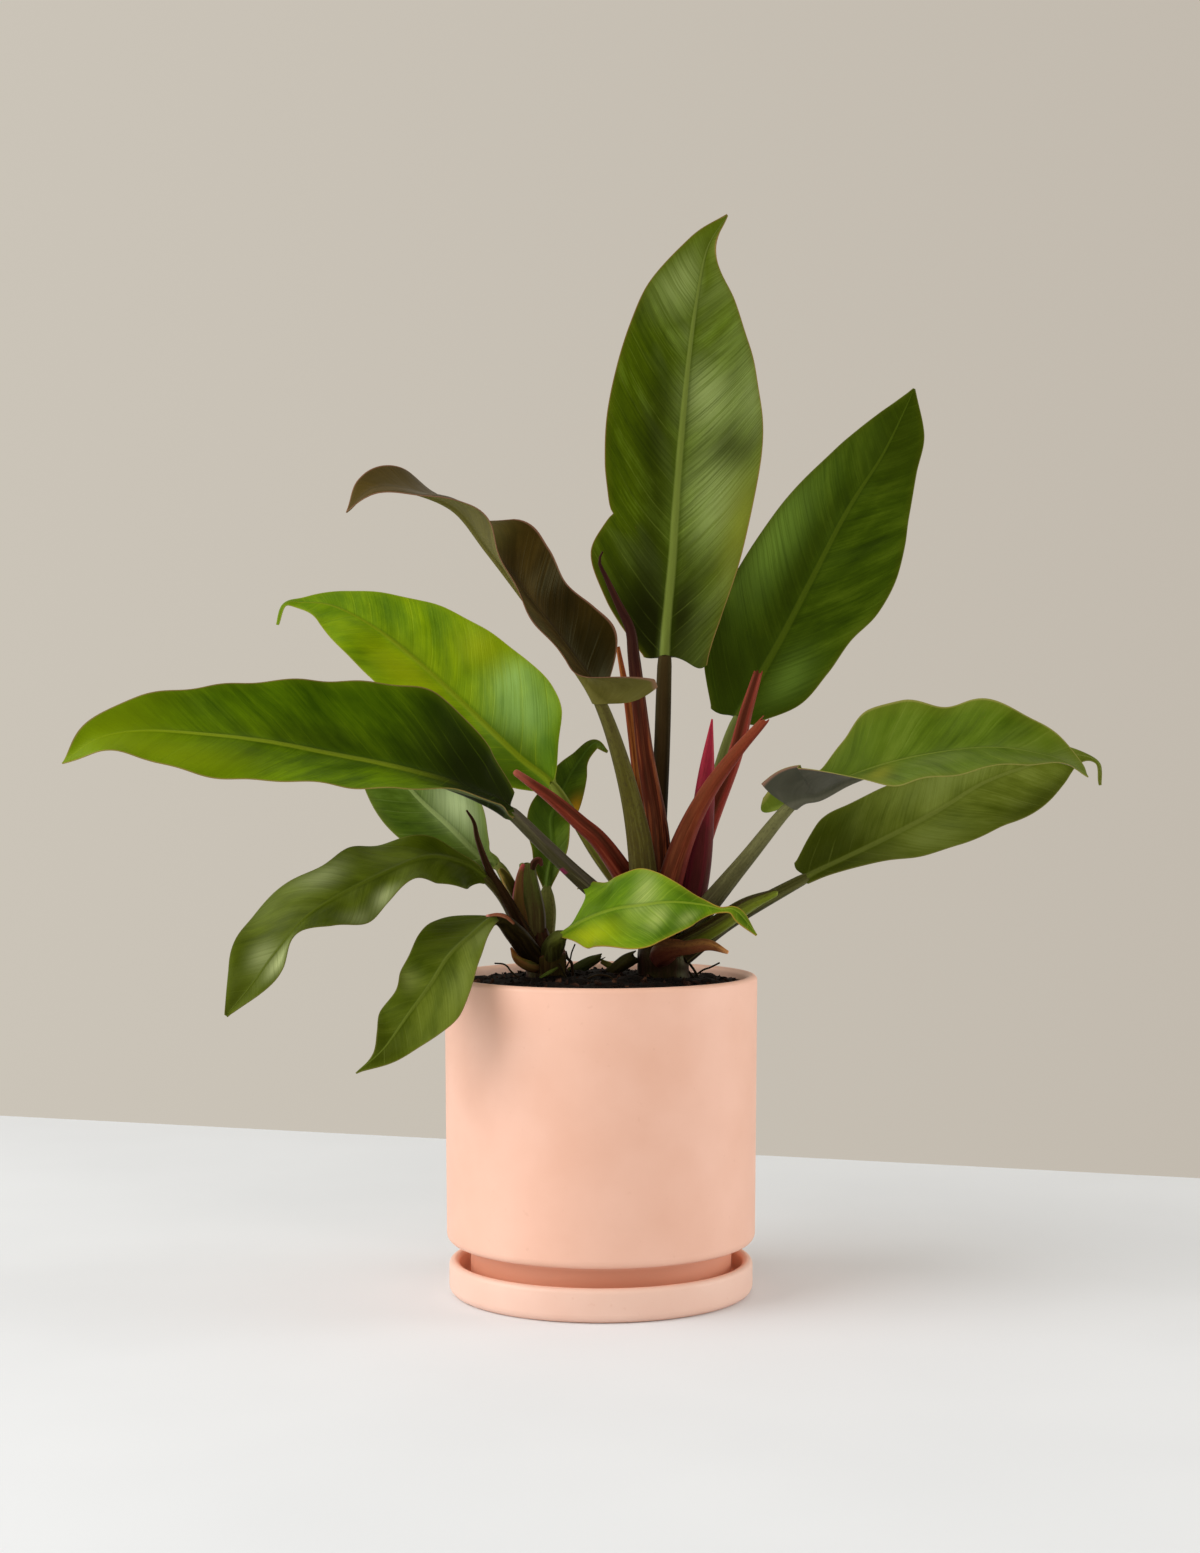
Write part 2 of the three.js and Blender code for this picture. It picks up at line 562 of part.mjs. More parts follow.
// Bud sheaths, the rolled young leaf, cut stalks and bracts: tapered stalks with no blade
const SHEATHS = [
  {
    name: 'young_leaf', colour: 'redStem', face: [[-0.2, -1, 0], [-0.2, -1, 0]],
    path: [
      [36, 7, 216], [34, 8, 242], [32, 9, 271], [26, 9, 307], [22, 8, 340], [19, 8, 366],
      [17, 8, 381], [10, 7, 396], [3, 6, 411], [-1, 5, 420], [1, 4, 426],
    ],
    radius: [8.5, 7.6, 6.4, 5.2, 4.6, 4, 3.6, 2.8, 1.8, 0.5], channel: 0.3,
  },
  {
    name: 'sheath_behind', colour: 'redStem', face: [[0, -1, 0], [0, -1, 0]],
    path: [[28, 17, 216], [23, 21, 282], [17, 27, 332], [10, 33, 372]],
    radius: [4.5, 3.6, 3, 1.2],
  },
  {
    name: 'bud_crimson', colour: 'crimson', face: [[0, -1, 0], [0, -1, 0]],
    path: [[50, 4, 207], [56, 2, 248], [59, 0, 277], [61, -1, 300], [64, -2, 329]],
    radius: [6.5, 7.6, 6.2, 4.4, 0.5],
  },
  {
    name: 'sheath_tall', colour: 'redStem', face: [[-0.3, -1, 0], [-0.3, -1, 0]],
    path: [[52, 13, 214], [66, 18, 259], [79, 24, 305], [86, 28, 334], [93, 32, 358]],
    radius: [5.5, 5, 4, 3, 1.8], channel: 0.4,
  },
  {
    name: 'sheath_near', colour: 'redStem', face: [[-0.5, -0.8, 0.2], [-0.5, -0.8, 0.2]],
    path: [[34, -6, 214], [45, -14, 254], [58, -22, 283], [75, -30, 308], [93, -36, 329]],
    radius: [10, 8.2, 5.6, 3.8, 1.8], channel: 0.3,
  },
  {
    name: 'sheath_left', colour: 'redStem', face: [[0.4, -0.8, 0.5], [0.4, -0.8, 0.5]],
    path: [[26, 4, 219], [2, -2, 255], [-12, -8, 269], [-29, -14, 284], [-48, -18, 298]],
    radius: [7, 6, 4.8, 3.6, 2], channel: 0.4,
  },
  {
    name: 'bract_base', colour: 'tan', face: [[0, -0.3, 1], [0, -0.3, 1]],
    path: [[34, -6, 192], [38, -22, 198], [48, -34, 200], [60, -40, 202], [71, -44, 198]],
    radius: [6, 7, 4.5, 3.6, 1],
  },
  {
    name: 'sheath_right', colour: 'olive', face: [[-0.3, -0.4, 0.8], [-0.3, -0.4, 0.8]],
    path: [[44, -5, 198], [64, -14, 210], [83, -20, 223], [98, -24, 230]],
    radius: [6, 5.5, 5, 2.4],
  },
  {
    name: 'stub_side', colour: 'brownStem', face: [[0, -1, 0], [0, -1, 0]],
    path: [[-38, 6, 198], [-39, 8, 218], [-42, 8, 236], [-43, 8, 246]],
    radius: [6, 6.5, 5.6, 4.6],
  },
  {
    name: 'spike_dry', colour: 'brownStem', face: [[0, -1, 0], [0, -1, 0]],
    path: [
      [-44, -2, 206], [-55, -8, 227], [-64, -14, 243], [-70, -20, 260], [-72, -24, 270],
      [-76, -28, 277],
    ],
    radius: [4, 3.4, 2.6, 2, 1.4, 0.6],
  },
  {
    name: 'bract_side', colour: 'tan', face: [[0, -0.3, 1], [0, -0.3, 1]],
    path: [[-36, -1, 186], [-42, -9, 188], [-48, -15, 192], [-51, -17, 198]],
    radius: [3.5, 3.5, 2.6, 0.8],
  },
];

// A crown's own solid, widened by extra all round when it is the shape of a hole
function crownSolid(crown, extra) {
  const curve = new THREE.LineCurve3(vector(crown.foot), vector(crown.top));
  const rings = [];
  for (let i = 0; i <= CROWN_STEPS; i += 1) {
    const centre = curve.getPoint(i / CROWN_STEPS);
    if (i === CROWN_STEPS) centre.z += extra;
    if (i === 0) centre.z -= extra;
    const reach = along(crown.radius, i / CROWN_STEPS) + extra;
    const ring = levelRing(centre.z, reach, CROWN_SIDES);
    ring.forEach((p) => p.add(new THREE.Vector3(centre.x, centre.y, 0)));
    rings.push(ring);
  }
  return solidFrom(tubeGeometry(rings));
}

// A leaf's own solid, and its stalk widened by the gap that its neighbours keep from it
function leafSolids(spec) {
  const leaf = { ...spec, curve: axisCurve([...spec.stalk, ...spec.rib]) };
  leaf.baseShare = shareAt(leaf.curve, spec.stalk.length - 1);
  leaf.bladeLength = leaf.curve.getLength() * (1 - leaf.baseShare);
  const stalk = (extra) => solidFrom(stalkGeometry(leaf, {
    from: 0,
    to: leaf.baseShare + STALK_UNDER_BLADE / leaf.curve.getLength(),
    steps: STALK_STEPS,
    radius: spec.radius,
    sink: 0,
    extra,
  }));
  const blade = solidFrom(bladeGeometry(leaf));
  return { body: blade.add(stalk(0)), clearance: stalk(GAP) };
}

function sheathSolids(spec) {
  const sheath = { ...spec, curve: axisCurve(spec.path), baseShare: 0 };
  const shape = (extra) => solidFrom(stalkGeometry(sheath, {
    from: 0,
    to: 1,
    steps: SHEATH_STEPS,
    radius: spec.radius,
    sink: 0,
    extra,
    channel: spec.channel,
  }));
  return { body: shape(0), clearance: shape(GAP) };
}

function potSolid() {
  const rim = POT_WALL / 2;
  const radius = POT_DIAMETER / 2;
  const low = radius - POT_TAPER;
  const bend = POT_BEND;
  const foot = POT_FOOT_DIAMETER / 2;
  const underside = SAUCER_FLOOR + GAP;
  const floor = underside + POT_FLOOR;
  const drain = DRAIN_HOLE_DIAMETER / 2;
  const bendCentre = [low - bend, POT_SHOULDER + bend];
  const profile = [
    [drain, underside + FOOT_RECESS],
    [foot - FOOT_RING, underside + FOOT_RECESS],
    [foot - FOOT_RING, underside],
    [foot - 1, underside],
    [foot, underside + 1],
    [foot, POT_SHOULDER],
    ...arc(...bendCentre, bend, -90, 0, 4),
    ...arc(radius - rim, POT_TOP - rim, rim, 0, 180, 6),
    [low - POT_WALL, POT_SHOULDER + POT_WALL + bend],
    [low - POT_WALL - 2, POT_SHOULDER + POT_WALL],
    [foot - POT_WALL, POT_SHOULDER + POT_WALL],
    [foot - POT_WALL, floor],
    [drain, floor],
    [drain, underside + FOOT_RECESS],
  ];
  return solidFrom(turned(profile));
}

function saucerSolid() {
  const radius = SAUCER_DIAMETER / 2;
  const rim = SAUCER_WALL / 2;
  const inner = radius - SAUCER_WALL;
  const profile = [
    [0, 0],
    ...arc(radius - SAUCER_BEND, SAUCER_BEND, SAUCER_BEND, -90, 0, 4),
    ...arc(radius - rim, SAUCER_HEIGHT - rim, rim, 0, 180, 6),
    ...arc(inner - 4, SAUCER_FLOOR + 4, 4, 0, -90, 3),
    [0, SAUCER_FLOOR],
  ];
  return solidFrom(turned(profile));
}

// The potting mix: it fills the pot up to a bumpy mound and has a plain hole for each crown
function soilSolid() {
  const side = (POT_DIAMETER / 2) - POT_WALL - GAP;
  const low = side - POT_TAPER;
  const foot = POT_FOOT_DIAMETER / 2 - POT_WALL - GAP;
  const floor = SAUCER_FLOOR + GAP + POT_FLOOR + GAP;
  const edge = SOIL_EDGE;
  const taperAt = (z) => low + ((side - low) * (z - POT_SHOULDER)) / (POT_TOP - POT_SHOULDER);
  const wall = [
    [foot, floor],
    [foot, POT_SHOULDER + POT_WALL + GAP],
    [low - 2, POT_SHOULDER + POT_WALL + GAP],
    [low, POT_SHOULDER + POT_WALL + POT_BEND],
    [taperAt(edge - 3), edge - 3],
    [taperAt(edge) - 1.5, edge],
  ];
  const rings = wall.map(([r, z]) => levelRing(z, r, ROUND_SEGMENTS));
  for (const r of SOIL_RINGS) {
    const ring = levelRing(0, r, ROUND_SEGMENTS);
    ring.forEach((p) => {
      p.z = soilHeight(p.x, p.y);
    });
    rings.push(ring);
  }
  return solidFrom(tubeGeometry(rings));
}

// The height of the potting mix at a place: a low mound with lumps
function soilHeight(x, y) {
  const share = Math.hypot(x, y) / (POT_DIAMETER / 2);
  const fine = Math.sin(x * 0.21 + 1.3) * Math.cos(y * 0.17 + 0.4);
  const broad = 0.6 * Math.sin(x * 0.09 - y * 0.31);
  return SOIL_EDGE + SOIL_MOUND * (1 - share ** 2) + SOIL_LUMP * (fine + broad);
}

const group = new THREE.Group();
group.name = 'potted_autumn_philodendron';

function addNode(name, solid, finish) {
  const material = new THREE.MeshStandardMaterial({ ...COLOURS[finish], metalness: 0 });
  const mesh = new THREE.Mesh(geometryOf(solid), material);
  mesh.name = name;
  group.add(mesh);
}

const crowns = [MAIN_CROWN, SIDE_CROWN];
const holes = crowns.map((crown) => crownSolid(crown, GAP));
const potAndSaucer = [['pot', potSolid()], ['saucer', saucerSolid()]];
potAndSaucer.forEach(([name, solid]) => addNode(name, solid, 'ceramic'));
addNode('soil', holes.reduce((solid, hole) => solid.subtract(hole), soilSolid()), 'soil');
crowns.forEach((crown) => addNode(crown.name, crownSolid(crown, 0), 'brownStem'));

// Each leaf and sheath is cut back where it meets the crowns and the stalks before it
const earlier = [...holes];
const stems = [
  ...LEAVES.map((spec) => ({ spec, ...leafSolids(spec) })),
  ...SHEATHS.map((spec) => ({ spec, ...sheathSolids(spec) })),
];
for (const { spec, body, clearance } of stems) {
  const cut = earlier.reduce((solid, other) => solid.subtract(other), body);
  addNode(spec.name, largestBody(cut), spec.colour);
  earlier.push(clearance);
}

export default group;
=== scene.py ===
# %% [markdown]
# # A potted autumn philodendron
#
# A self-heading philodendron is a house plant with short thick crowns, from which broad leathery
# leaves rise on long stalks. New leaves come out of red bud sheaths. This notebook dresses the
# plain CAD model of one such plant and its ceramic pot: each solid is replaced by a finer piece
# of the same form, and gets a material with the colours, veins and sheen of the real thing.
#
# Everything is in metres, in the frame of the CAD model. The origin is the middle of the
# saucer's underside, up is +Z, and the front of the plant looks towards -Y.

import json
import math

import bmesh
import bpy
import numpy as np
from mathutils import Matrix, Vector


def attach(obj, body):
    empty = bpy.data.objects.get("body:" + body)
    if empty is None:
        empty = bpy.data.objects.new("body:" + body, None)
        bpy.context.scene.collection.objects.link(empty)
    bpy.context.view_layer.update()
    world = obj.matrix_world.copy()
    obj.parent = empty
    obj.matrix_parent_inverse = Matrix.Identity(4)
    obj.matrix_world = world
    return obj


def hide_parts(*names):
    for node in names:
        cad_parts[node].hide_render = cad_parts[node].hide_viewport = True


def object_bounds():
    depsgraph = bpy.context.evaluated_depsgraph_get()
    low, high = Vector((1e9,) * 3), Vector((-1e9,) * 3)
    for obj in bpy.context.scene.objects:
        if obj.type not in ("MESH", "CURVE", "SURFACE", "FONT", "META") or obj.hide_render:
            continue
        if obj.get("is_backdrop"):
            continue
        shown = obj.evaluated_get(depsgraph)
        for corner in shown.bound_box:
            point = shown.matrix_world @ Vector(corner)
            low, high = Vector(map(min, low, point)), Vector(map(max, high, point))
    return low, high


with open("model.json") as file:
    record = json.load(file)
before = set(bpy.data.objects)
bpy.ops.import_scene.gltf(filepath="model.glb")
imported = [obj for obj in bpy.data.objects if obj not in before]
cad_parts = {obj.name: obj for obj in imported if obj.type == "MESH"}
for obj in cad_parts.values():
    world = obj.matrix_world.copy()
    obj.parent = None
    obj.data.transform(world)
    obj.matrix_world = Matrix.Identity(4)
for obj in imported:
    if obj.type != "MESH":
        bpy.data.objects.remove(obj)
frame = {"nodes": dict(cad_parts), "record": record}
cad_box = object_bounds()
MM = 0.001
bpy.ops.object.select_all(action="DESELECT")
print("CAD nodes:", len(frame["nodes"]))

# %% [markdown]
# ## Camera, floor and light
#
# The photo was taken level with the middle of the plant, from about 1.4 m, with a short
# telephoto lens. The floor is one pale sheet whose far edge runs a little askew, as the edge
# of the photo's table does. A large soft lamp stands at the left, a weaker one at the right
# and a faint one in front, and the pale wall round the set is the world's own light.

# %% Camera
# The frame is 1553 pixels high, and its middle lies a little off the camera's aim.
LENS_MM = 56.79
DISTANCE_MM, LEVEL_MM = 1413, 310
FRAME_PX = 1553
ASIDE_PX, DOWN_PX = -1, -24.5
camera_data = bpy.data.cameras.new("camera")
camera = bpy.data.objects.new("camera", camera_data)
bpy.context.scene.collection.objects.link(camera)
camera.location = (0, -DISTANCE_MM * MM, LEVEL_MM * MM)
camera.rotation_euler = (math.radians(90), 0, 0)
camera_data.lens = LENS_MM
camera_data.shift_x = ASIDE_PX / FRAME_PX
camera_data.shift_y = DOWN_PX / FRAME_PX
camera_data.clip_start = 0.05
bpy.context.scene.camera = camera
bpy.context.scene.view_settings.view_transform = "Standard"
print("camera stands", round(-camera.location.y, 3), "m in front")


# %% [markdown]
# Two small functions serve every material. One turns a colour as a painter's chart gives it,
# an sRGB hex value, into the linear numbers that a shader works with. The other adds any node
# with its settings, and links or fills its sockets, so that a material reads as a short list.

# %% Colour and node helpers
def linear(chart):
    parts = [int(chart[i:i + 2], 16) / 255 for i in (1, 3, 5)]
    return tuple(p / 12.92 if p <= 0.04045 else ((p + 0.055) / 1.055) ** 2.4 for p in parts) + (1,)


def add_node(tree, kind, inputs=None, stops=None, **settings):
    node = tree.nodes.new(kind)
    for name, value in settings.items():
        setattr(node, name, value)
    for place, (position, colour) in enumerate(stops or []):
        steps = node.color_ramp.elements
        step = steps[place] if place < 2 else steps.new(position)
        step.position, step.color = position, colour
    for name, value in (inputs or {}).items():
        if isinstance(value, bpy.types.NodeSocket):
            tree.links.new(value, node.inputs[name])
        else:
            node.inputs[name].default_value = value
    return node


def new_material(name):
    material = bpy.data.materials.new(name)
    material.use_nodes = True
    material.node_tree.nodes.clear()
    return material, material.node_tree


print("sRGB mid grey is linear", round(linear("#808080")[0], 3))

# %% Painted board for the floor
# Matte white paint on board: it scatters nearly all light and shows no gloss, only the faint
# cloudiness that a roller leaves, drawn 200 mm wide because finer texture would not show. The
# two near corners come first, then the far ones, between which the edge runs askew.
paint, tree = new_material("matte_white_paint")
place = add_node(tree, "ShaderNodeTexCoord").outputs["Object"]
cloud = add_node(tree, "ShaderNodeTexNoise", {"Vector": place, "Scale": 5.0, "Detail": 2.0})
shade = add_node(tree, "ShaderNodeValToRGB", {0: cloud.outputs[0]},
                 stops=[(0.3, linear("#E3E8EE")), (0.7, linear("#E7ECF2"))])
surface = add_node(tree, "ShaderNodeBsdfPrincipled",
                   {"Base Color": shade.outputs[0], "Roughness": 0.8, "Specular IOR Level": 0.2})
add_node(tree, "ShaderNodeOutputMaterial", {"Surface": surface.outputs[0]})

bpy.ops.mesh.primitive_plane_add(size=2)
floor = bpy.context.active_object
floor.name = "studio_floor"
FLOOR_CORNERS = [(-1.7, -1.7), (1.7, -1.7), (-1.7, 1.06), (1.7, -0.04)]
for vertex, (x, y) in zip(floor.data.vertices, FLOOR_CORNERS):
    vertex.co = (x, y, 0)
floor.data.materials.append(paint)
floor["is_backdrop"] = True
print("floor corners:", FLOOR_CORNERS)

# %% Soft light
world = bpy.data.worlds.new("pale_wall")
bpy.context.scene.world = world
world.use_nodes = True
world.node_tree.nodes.clear()
direction = add_node(world.node_tree, "ShaderNodeTexCoord").outputs["Generated"]
sideways = add_node(world.node_tree, "ShaderNodeSeparateXYZ", {0: direction}).outputs[0]
wall = add_node(world.node_tree, "ShaderNodeMapRange",
                {"Value": sideways, "From Min": -0.25, "From Max": 0.25})
wall_tone = add_node(world.node_tree, "ShaderNodeMix",
                     {0: wall.outputs[0], 6: linear("#CBC4B8"), 7: linear("#C2BAAE")},
                     data_type="RGBA")
glow = add_node(world.node_tree, "ShaderNodeBackground",
                {"Color": wall_tone.outputs[2], "Strength": 1})
add_node(world.node_tree, "ShaderNodeOutputWorld", {"Surface": glow.outputs[0]})


SOFT_WHITE = (1, 0.99, 0.985)


def add_lamp(name, at, aim, size, power):
    """A round soft lamp at a place and aimed at another, with its width in m and power in W"""
    data = bpy.data.lights.new(name, "AREA")
    data.shape, data.size, data.energy, data.color = "DISK", size, power, SOFT_WHITE
    lamp = bpy.data.objects.new(name, data)
    lamp.location = at
    lamp.rotation_euler = (Vector(aim) - Vector(at)).to_track_quat("-Z", "Y").to_euler()
    bpy.context.scene.collection.objects.link(lamp)
    return lamp


lamps = (add_lamp("left_softbox", (-2.05, -0.8, 1.35), (0, 0, 0.2), 2.8, 58),
         add_lamp("front_softbox", (0.3, -2.2, 1.5), (0, 0, 0.2), 2.0, 6),
         add_lamp("right_softbox", (1.9, 0.0, 0.5), (0, 0, 0.25), 1.0, 14))
print("lamps:", {lamp.name: f"{lamp.data.energy:.0f} W" for lamp in lamps})


# %% [markdown]
# ## The pot and its saucer
#
# The pot is a straight-sided cylinder of fired clay with a thin matte glaze. Such a pot is
# usually cast in a plaster mould, so its walls are even and its edges softly rounded. It
# could be turned from a drawn profile, but here it is shaped as a maker would by hand: one
# cylinder whose ends are inset and pushed in to make the wall, the floor, the stepped foot
# and the drain hole, and whose edges are then rounded with bevels of the real radii.

# %% Editing helpers
# Radii, heights and widths are in mm. NEAR_MM is how far off a face or edge may lie and still
# count as lying at a radius and height.
ROUND, BEVEL_STEPS = 128, 5
NEAR_MM = (0.6, 0.2)


def named(name):
    """Name the piece just added, and put its place and size into its mesh"""
    piece = bpy.context.active_object
    piece.name = piece.data.name = name
    bpy.ops.object.transform_apply(location=True, rotation=True, scale=True)
    return piece


def only(piece):
    """Select one piece alone"""
    bpy.ops.object.select_all(action="DESELECT")
    piece.select_set(True)
    bpy.context.view_layer.objects.active = piece


def select_part(piece, kind, radius, height):
    """In edit mode, select the faces or edges whose middle lies at a radius and height"""
    bpy.ops.mesh.select_mode(type=kind)
    bpy.ops.mesh.select_all(action="DESELECT")
    mesh = bmesh.from_edit_mesh(piece.data)
    for part in mesh.faces if kind == "FACE" else mesh.edges:
        middle = sum((v.co for v in part.verts), Vector()) / len(part.verts)
        away = math.hypot(middle.x, middle.y) / MM - radius
        part.select_set(abs(away) < NEAR_MM[0] and abs(middle.z / MM - height) < NEAR_MM[1])
    bmesh.update_edit_mesh(piece.data)


def push(height):
    """Extrude what is selected by a height"""
    bpy.ops.mesh.extrude_region_move(TRANSFORM_OT_translate={"value": (0, 0, height * MM)})


def widen(from_radius, to_radius):
    """Scale what is selected about the upright axis"""
    share = to_radius / from_radius
    bpy.ops.transform.resize(value=(share, share, 1), center_override=(0, 0, 0))


def inset(amount):
    bpy.ops.mesh.inset(thickness=amount * MM)


def round_edge(piece, radius, height, by):
    select_part(piece, "EDGE", radius, height)
    bpy.ops.mesh.bevel(offset=by * MM, segments=BEVEL_STEPS, affect="EDGES")


def face_outwards():
    """Turn every face outwards, and leave edit mode"""
    bpy.ops.mesh.select_all(action="SELECT")
    bpy.ops.mesh.normals_make_consistent(inside=False)
    bpy.ops.object.mode_set(mode="OBJECT")


def smooth_below(degrees):
    """Shade smoothly across edges that bend by less than an angle"""
    bpy.ops.object.shade_smooth_by_angle(angle=math.radians(degrees))


print("round pieces have", ROUND, "sides, and bevels", BEVEL_STEPS, "steps")

# %% The pot
# The wall leans out a little from its bottom to its rim. Inside, the floor steps down into the
# foot, and below, the foot ends in a ring that stands on the saucer.
WALL, STEP, DRAIN = 6, 13.6, 9
RIM_RADIUS, BOTTOM_RADIUS, INNER_RADIUS = 90, 88.6, 82.6
RIM_HEIGHT, BOTTOM_HEIGHT, INNER_HEIGHT = 182, 29.5, 35.5
FOOT_RADIUS, FOOT_RING, FOOT_RISE = BOTTOM_RADIUS - STEP, 9, 3
FOOT_HEIGHT, FLOOR_HEIGHT = 5.3, 13.3
bpy.ops.mesh.primitive_cylinder_add(vertices=ROUND, radius=BOTTOM_RADIUS * MM,
                                    depth=(RIM_HEIGHT - BOTTOM_HEIGHT) * MM,
                                    location=(0, 0, (RIM_HEIGHT + BOTTOM_HEIGHT) / 2 * MM))
pot = named("ceramic_pot")
bpy.ops.object.mode_set(mode="EDIT")
select_part(pot, "FACE", 0, RIM_HEIGHT)
widen(BOTTOM_RADIUS, RIM_RADIUS)
inset(WALL)
push(INNER_HEIGHT - RIM_HEIGHT)
widen(RIM_RADIUS - WALL, INNER_RADIUS)
inset(STEP)
push(FLOOR_HEIGHT - INNER_HEIGHT)
inset(INNER_RADIUS - STEP - DRAIN)
select_part(pot, "FACE", 0, BOTTOM_HEIGHT)
inset(STEP)
push(FOOT_HEIGHT - BOTTOM_HEIGHT)
inset(FOOT_RING)
push(FOOT_RISE)
inset(FOOT_RADIUS - FOOT_RING - DRAIN)

# The two round faces that are left lie at the ends of the drain hole
bpy.ops.mesh.select_mode(type="FACE")
bpy.ops.mesh.select_all(action="DESELECT")
mesh = bmesh.from_edit_mesh(pot.data)
for face in mesh.faces:
    if len(face.verts) == ROUND:
        face.select_set(True)
bmesh.update_edit_mesh(pot.data)
bpy.ops.mesh.bridge_edge_loops()
POT_EDGES = (  # radius, height, bevel
    (RIM_RADIUS, RIM_HEIGHT, 2.9), (RIM_RADIUS - WALL, RIM_HEIGHT, 2.9),
    (BOTTOM_RADIUS, BOTTOM_HEIGHT, 5), (FOOT_RADIUS, FOOT_HEIGHT, 1),
    (INNER_RADIUS, INNER_HEIGHT, 4), (FOOT_RADIUS - FOOT_RING, FOOT_HEIGHT, 1),
    (DRAIN, FLOOR_HEIGHT, 1))
for radius, height, by in POT_EDGES:
    round_edge(pot, radius, height, by)
face_outwards()
smooth_below(35)
print("pot faces:", len(pot.data.polygons), "height", round(pot.dimensions.z / MM, 1), "mm")

# %% The saucer
SAUCER_RADIUS, SAUCER_HEIGHT, SAUCER_FLOOR = 87.25, 19, 5
bpy.ops.mesh.primitive_cylinder_add(vertices=ROUND, radius=SAUCER_RADIUS * MM,
                                    depth=SAUCER_HEIGHT * MM,
                                    location=(0, 0, SAUCER_HEIGHT / 2 * MM))
saucer = named("ceramic_saucer")
bpy.ops.object.mode_set(mode="EDIT")
select_part(saucer, "FACE", 0, SAUCER_HEIGHT)
inset(WALL)
push(SAUCER_FLOOR - SAUCER_HEIGHT)
SAUCER_EDGES = (  # radius, height, bevel
    (SAUCER_RADIUS, SAUCER_HEIGHT, 2.9), (SAUCER_RADIUS - WALL, SAUCER_HEIGHT, 2.9),
    (SAUCER_RADIUS, 0, 4.9), (SAUCER_RADIUS - WALL, SAUCER_FLOOR, 3.9))
for radius, height, by in SAUCER_EDGES:
    round_edge(saucer, radius, height, by)
face_outwards()
smooth_below(35)
print("saucer faces:", len(saucer.data.polygons), "width", round(saucer.dimensions.x / MM, 1), "mm")


# %% [markdown]
# The finish is a salmon-pink matte glaze on fired clay. Its IOR is that of glass, about 1.5,
# but tiny crystals in a matte glaze break up the gloss, so its roughness is high. The colour
# drifts a little where the glaze lies thicker, over patches about 40 mm wide, and the surface
# has fine pits of about half a millimetre, drawn twice as coarse so that they show, and a few
# darker specks some 4 mm apart. The inner wall carries painted light, which makes it paler
# against the shade of the plant. The foot carries painted shade, a darker and stronger salmon
# for its recess over the saucer, warmed as by the light that the saucer throws back.

# %% Matte glaze
# How often each pattern changes in 1 m, and the radius and the height, in m, at which the
# painted light of the inner wall and the painted shade of the foot begin.
DRIFTS, SPECKS, PITS = 25.0, 260.0, 900.0
INNER_PAINTED_LIGHT, FOOT_PAINTED_SHADE = (0.0855, 0.0845), (0.030, 0.026)


# foot is how strongly the painted shade of the recess covers the foot
def matte_glaze(name, pale, full, foot=0.0):
    material, tree = new_material(name)
    place = add_node(tree, "ShaderNodeTexCoord").outputs["Object"]
    drift = add_node(tree, "ShaderNodeTexNoise", {"Vector": place, "Scale": DRIFTS, "Detail": 3.0})
    tone = add_node(tree, "ShaderNodeValToRGB", {0: drift.outputs[0]},
                    stops=[(0.3, linear(full)), (0.7, linear(pale))])
    speck = add_node(tree, "ShaderNodeTexNoise", {"Vector": place, "Scale": SPECKS, "Detail": 1.0})
    dots = add_node(tree, "ShaderNodeMapRange",
                    {"Value": speck.outputs[0], "From Min": 0.72, "From Max": 0.8, "To Max": 0.22})
    colour = add_node(tree, "ShaderNodeMix",
                      {0: dots.outputs[0], 6: tone.outputs[0], 7: linear("#D9A388")}, data_type="RGBA")

    # Painted light makes the inner wall paler, against the shade of the plant. Painted shade makes
    # the foot darker and a stronger salmon, for its recess over the saucer.
    level = add_node(tree, "ShaderNodeVectorMath", {0: place, 1: (1, 1, 0)}, operation="MULTIPLY")
    radius = add_node(tree, "ShaderNodeVectorMath", {0: level.outputs[0]}, operation="LENGTH")
    inside = add_node(tree, "ShaderNodeMapRange",
                      {"Value": radius.outputs["Value"], "From Min": INNER_PAINTED_LIGHT[0],
                       "From Max": INNER_PAINTED_LIGHT[1], "To Max": 0.85})
    colour = add_node(tree, "ShaderNodeMix", {0: inside.outputs[0], 6: colour.outputs[2],
                                              7: linear("#FFD0B8")}, data_type="RGBA")
    height = add_node(tree, "ShaderNodeSeparateXYZ", {0: place}).outputs[2]
    recess_shade = add_node(tree, "ShaderNodeMapRange",
                    {"Value": height, "From Min": FOOT_PAINTED_SHADE[0], "From Max": FOOT_PAINTED_SHADE[1],
                     "To Max": foot})
    colour = add_node(tree, "ShaderNodeMix", {0: recess_shade.outputs[0], 6: colour.outputs[2],
                                              7: linear("#D68E6E")}, data_type="RGBA")
    gloss = add_node(tree, "ShaderNodeMapRange",
                     {"Value": drift.outputs[0], "To Min": 0.42, "To Max": 0.58})
    pits = add_node(tree, "ShaderNodeTexNoise", {"Vector": place, "Scale": PITS, "Detail": 1.0})
    relief = add_node(tree, "ShaderNodeBump",
                      {"Height": pits.outputs[0], "Strength": 0.12, "Distance": 0.0003})
    surface = add_node(tree, "ShaderNodeBsdfPrincipled",
                       {"Base Color": colour.outputs[2], "Roughness": gloss.outputs[0],
                        "Normal": relief.outputs[0], "IOR": 1.5})
    add_node(tree, "ShaderNodeOutputMaterial", {"Surface": surface.outputs[0]})
    return material


def finish_piece(piece, slot, *nodes):
    """Give a piece its body and hide the CAD nodes it stands for; slot is not used"""
    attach(piece, "root")
    if nodes:
        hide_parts(*nodes)


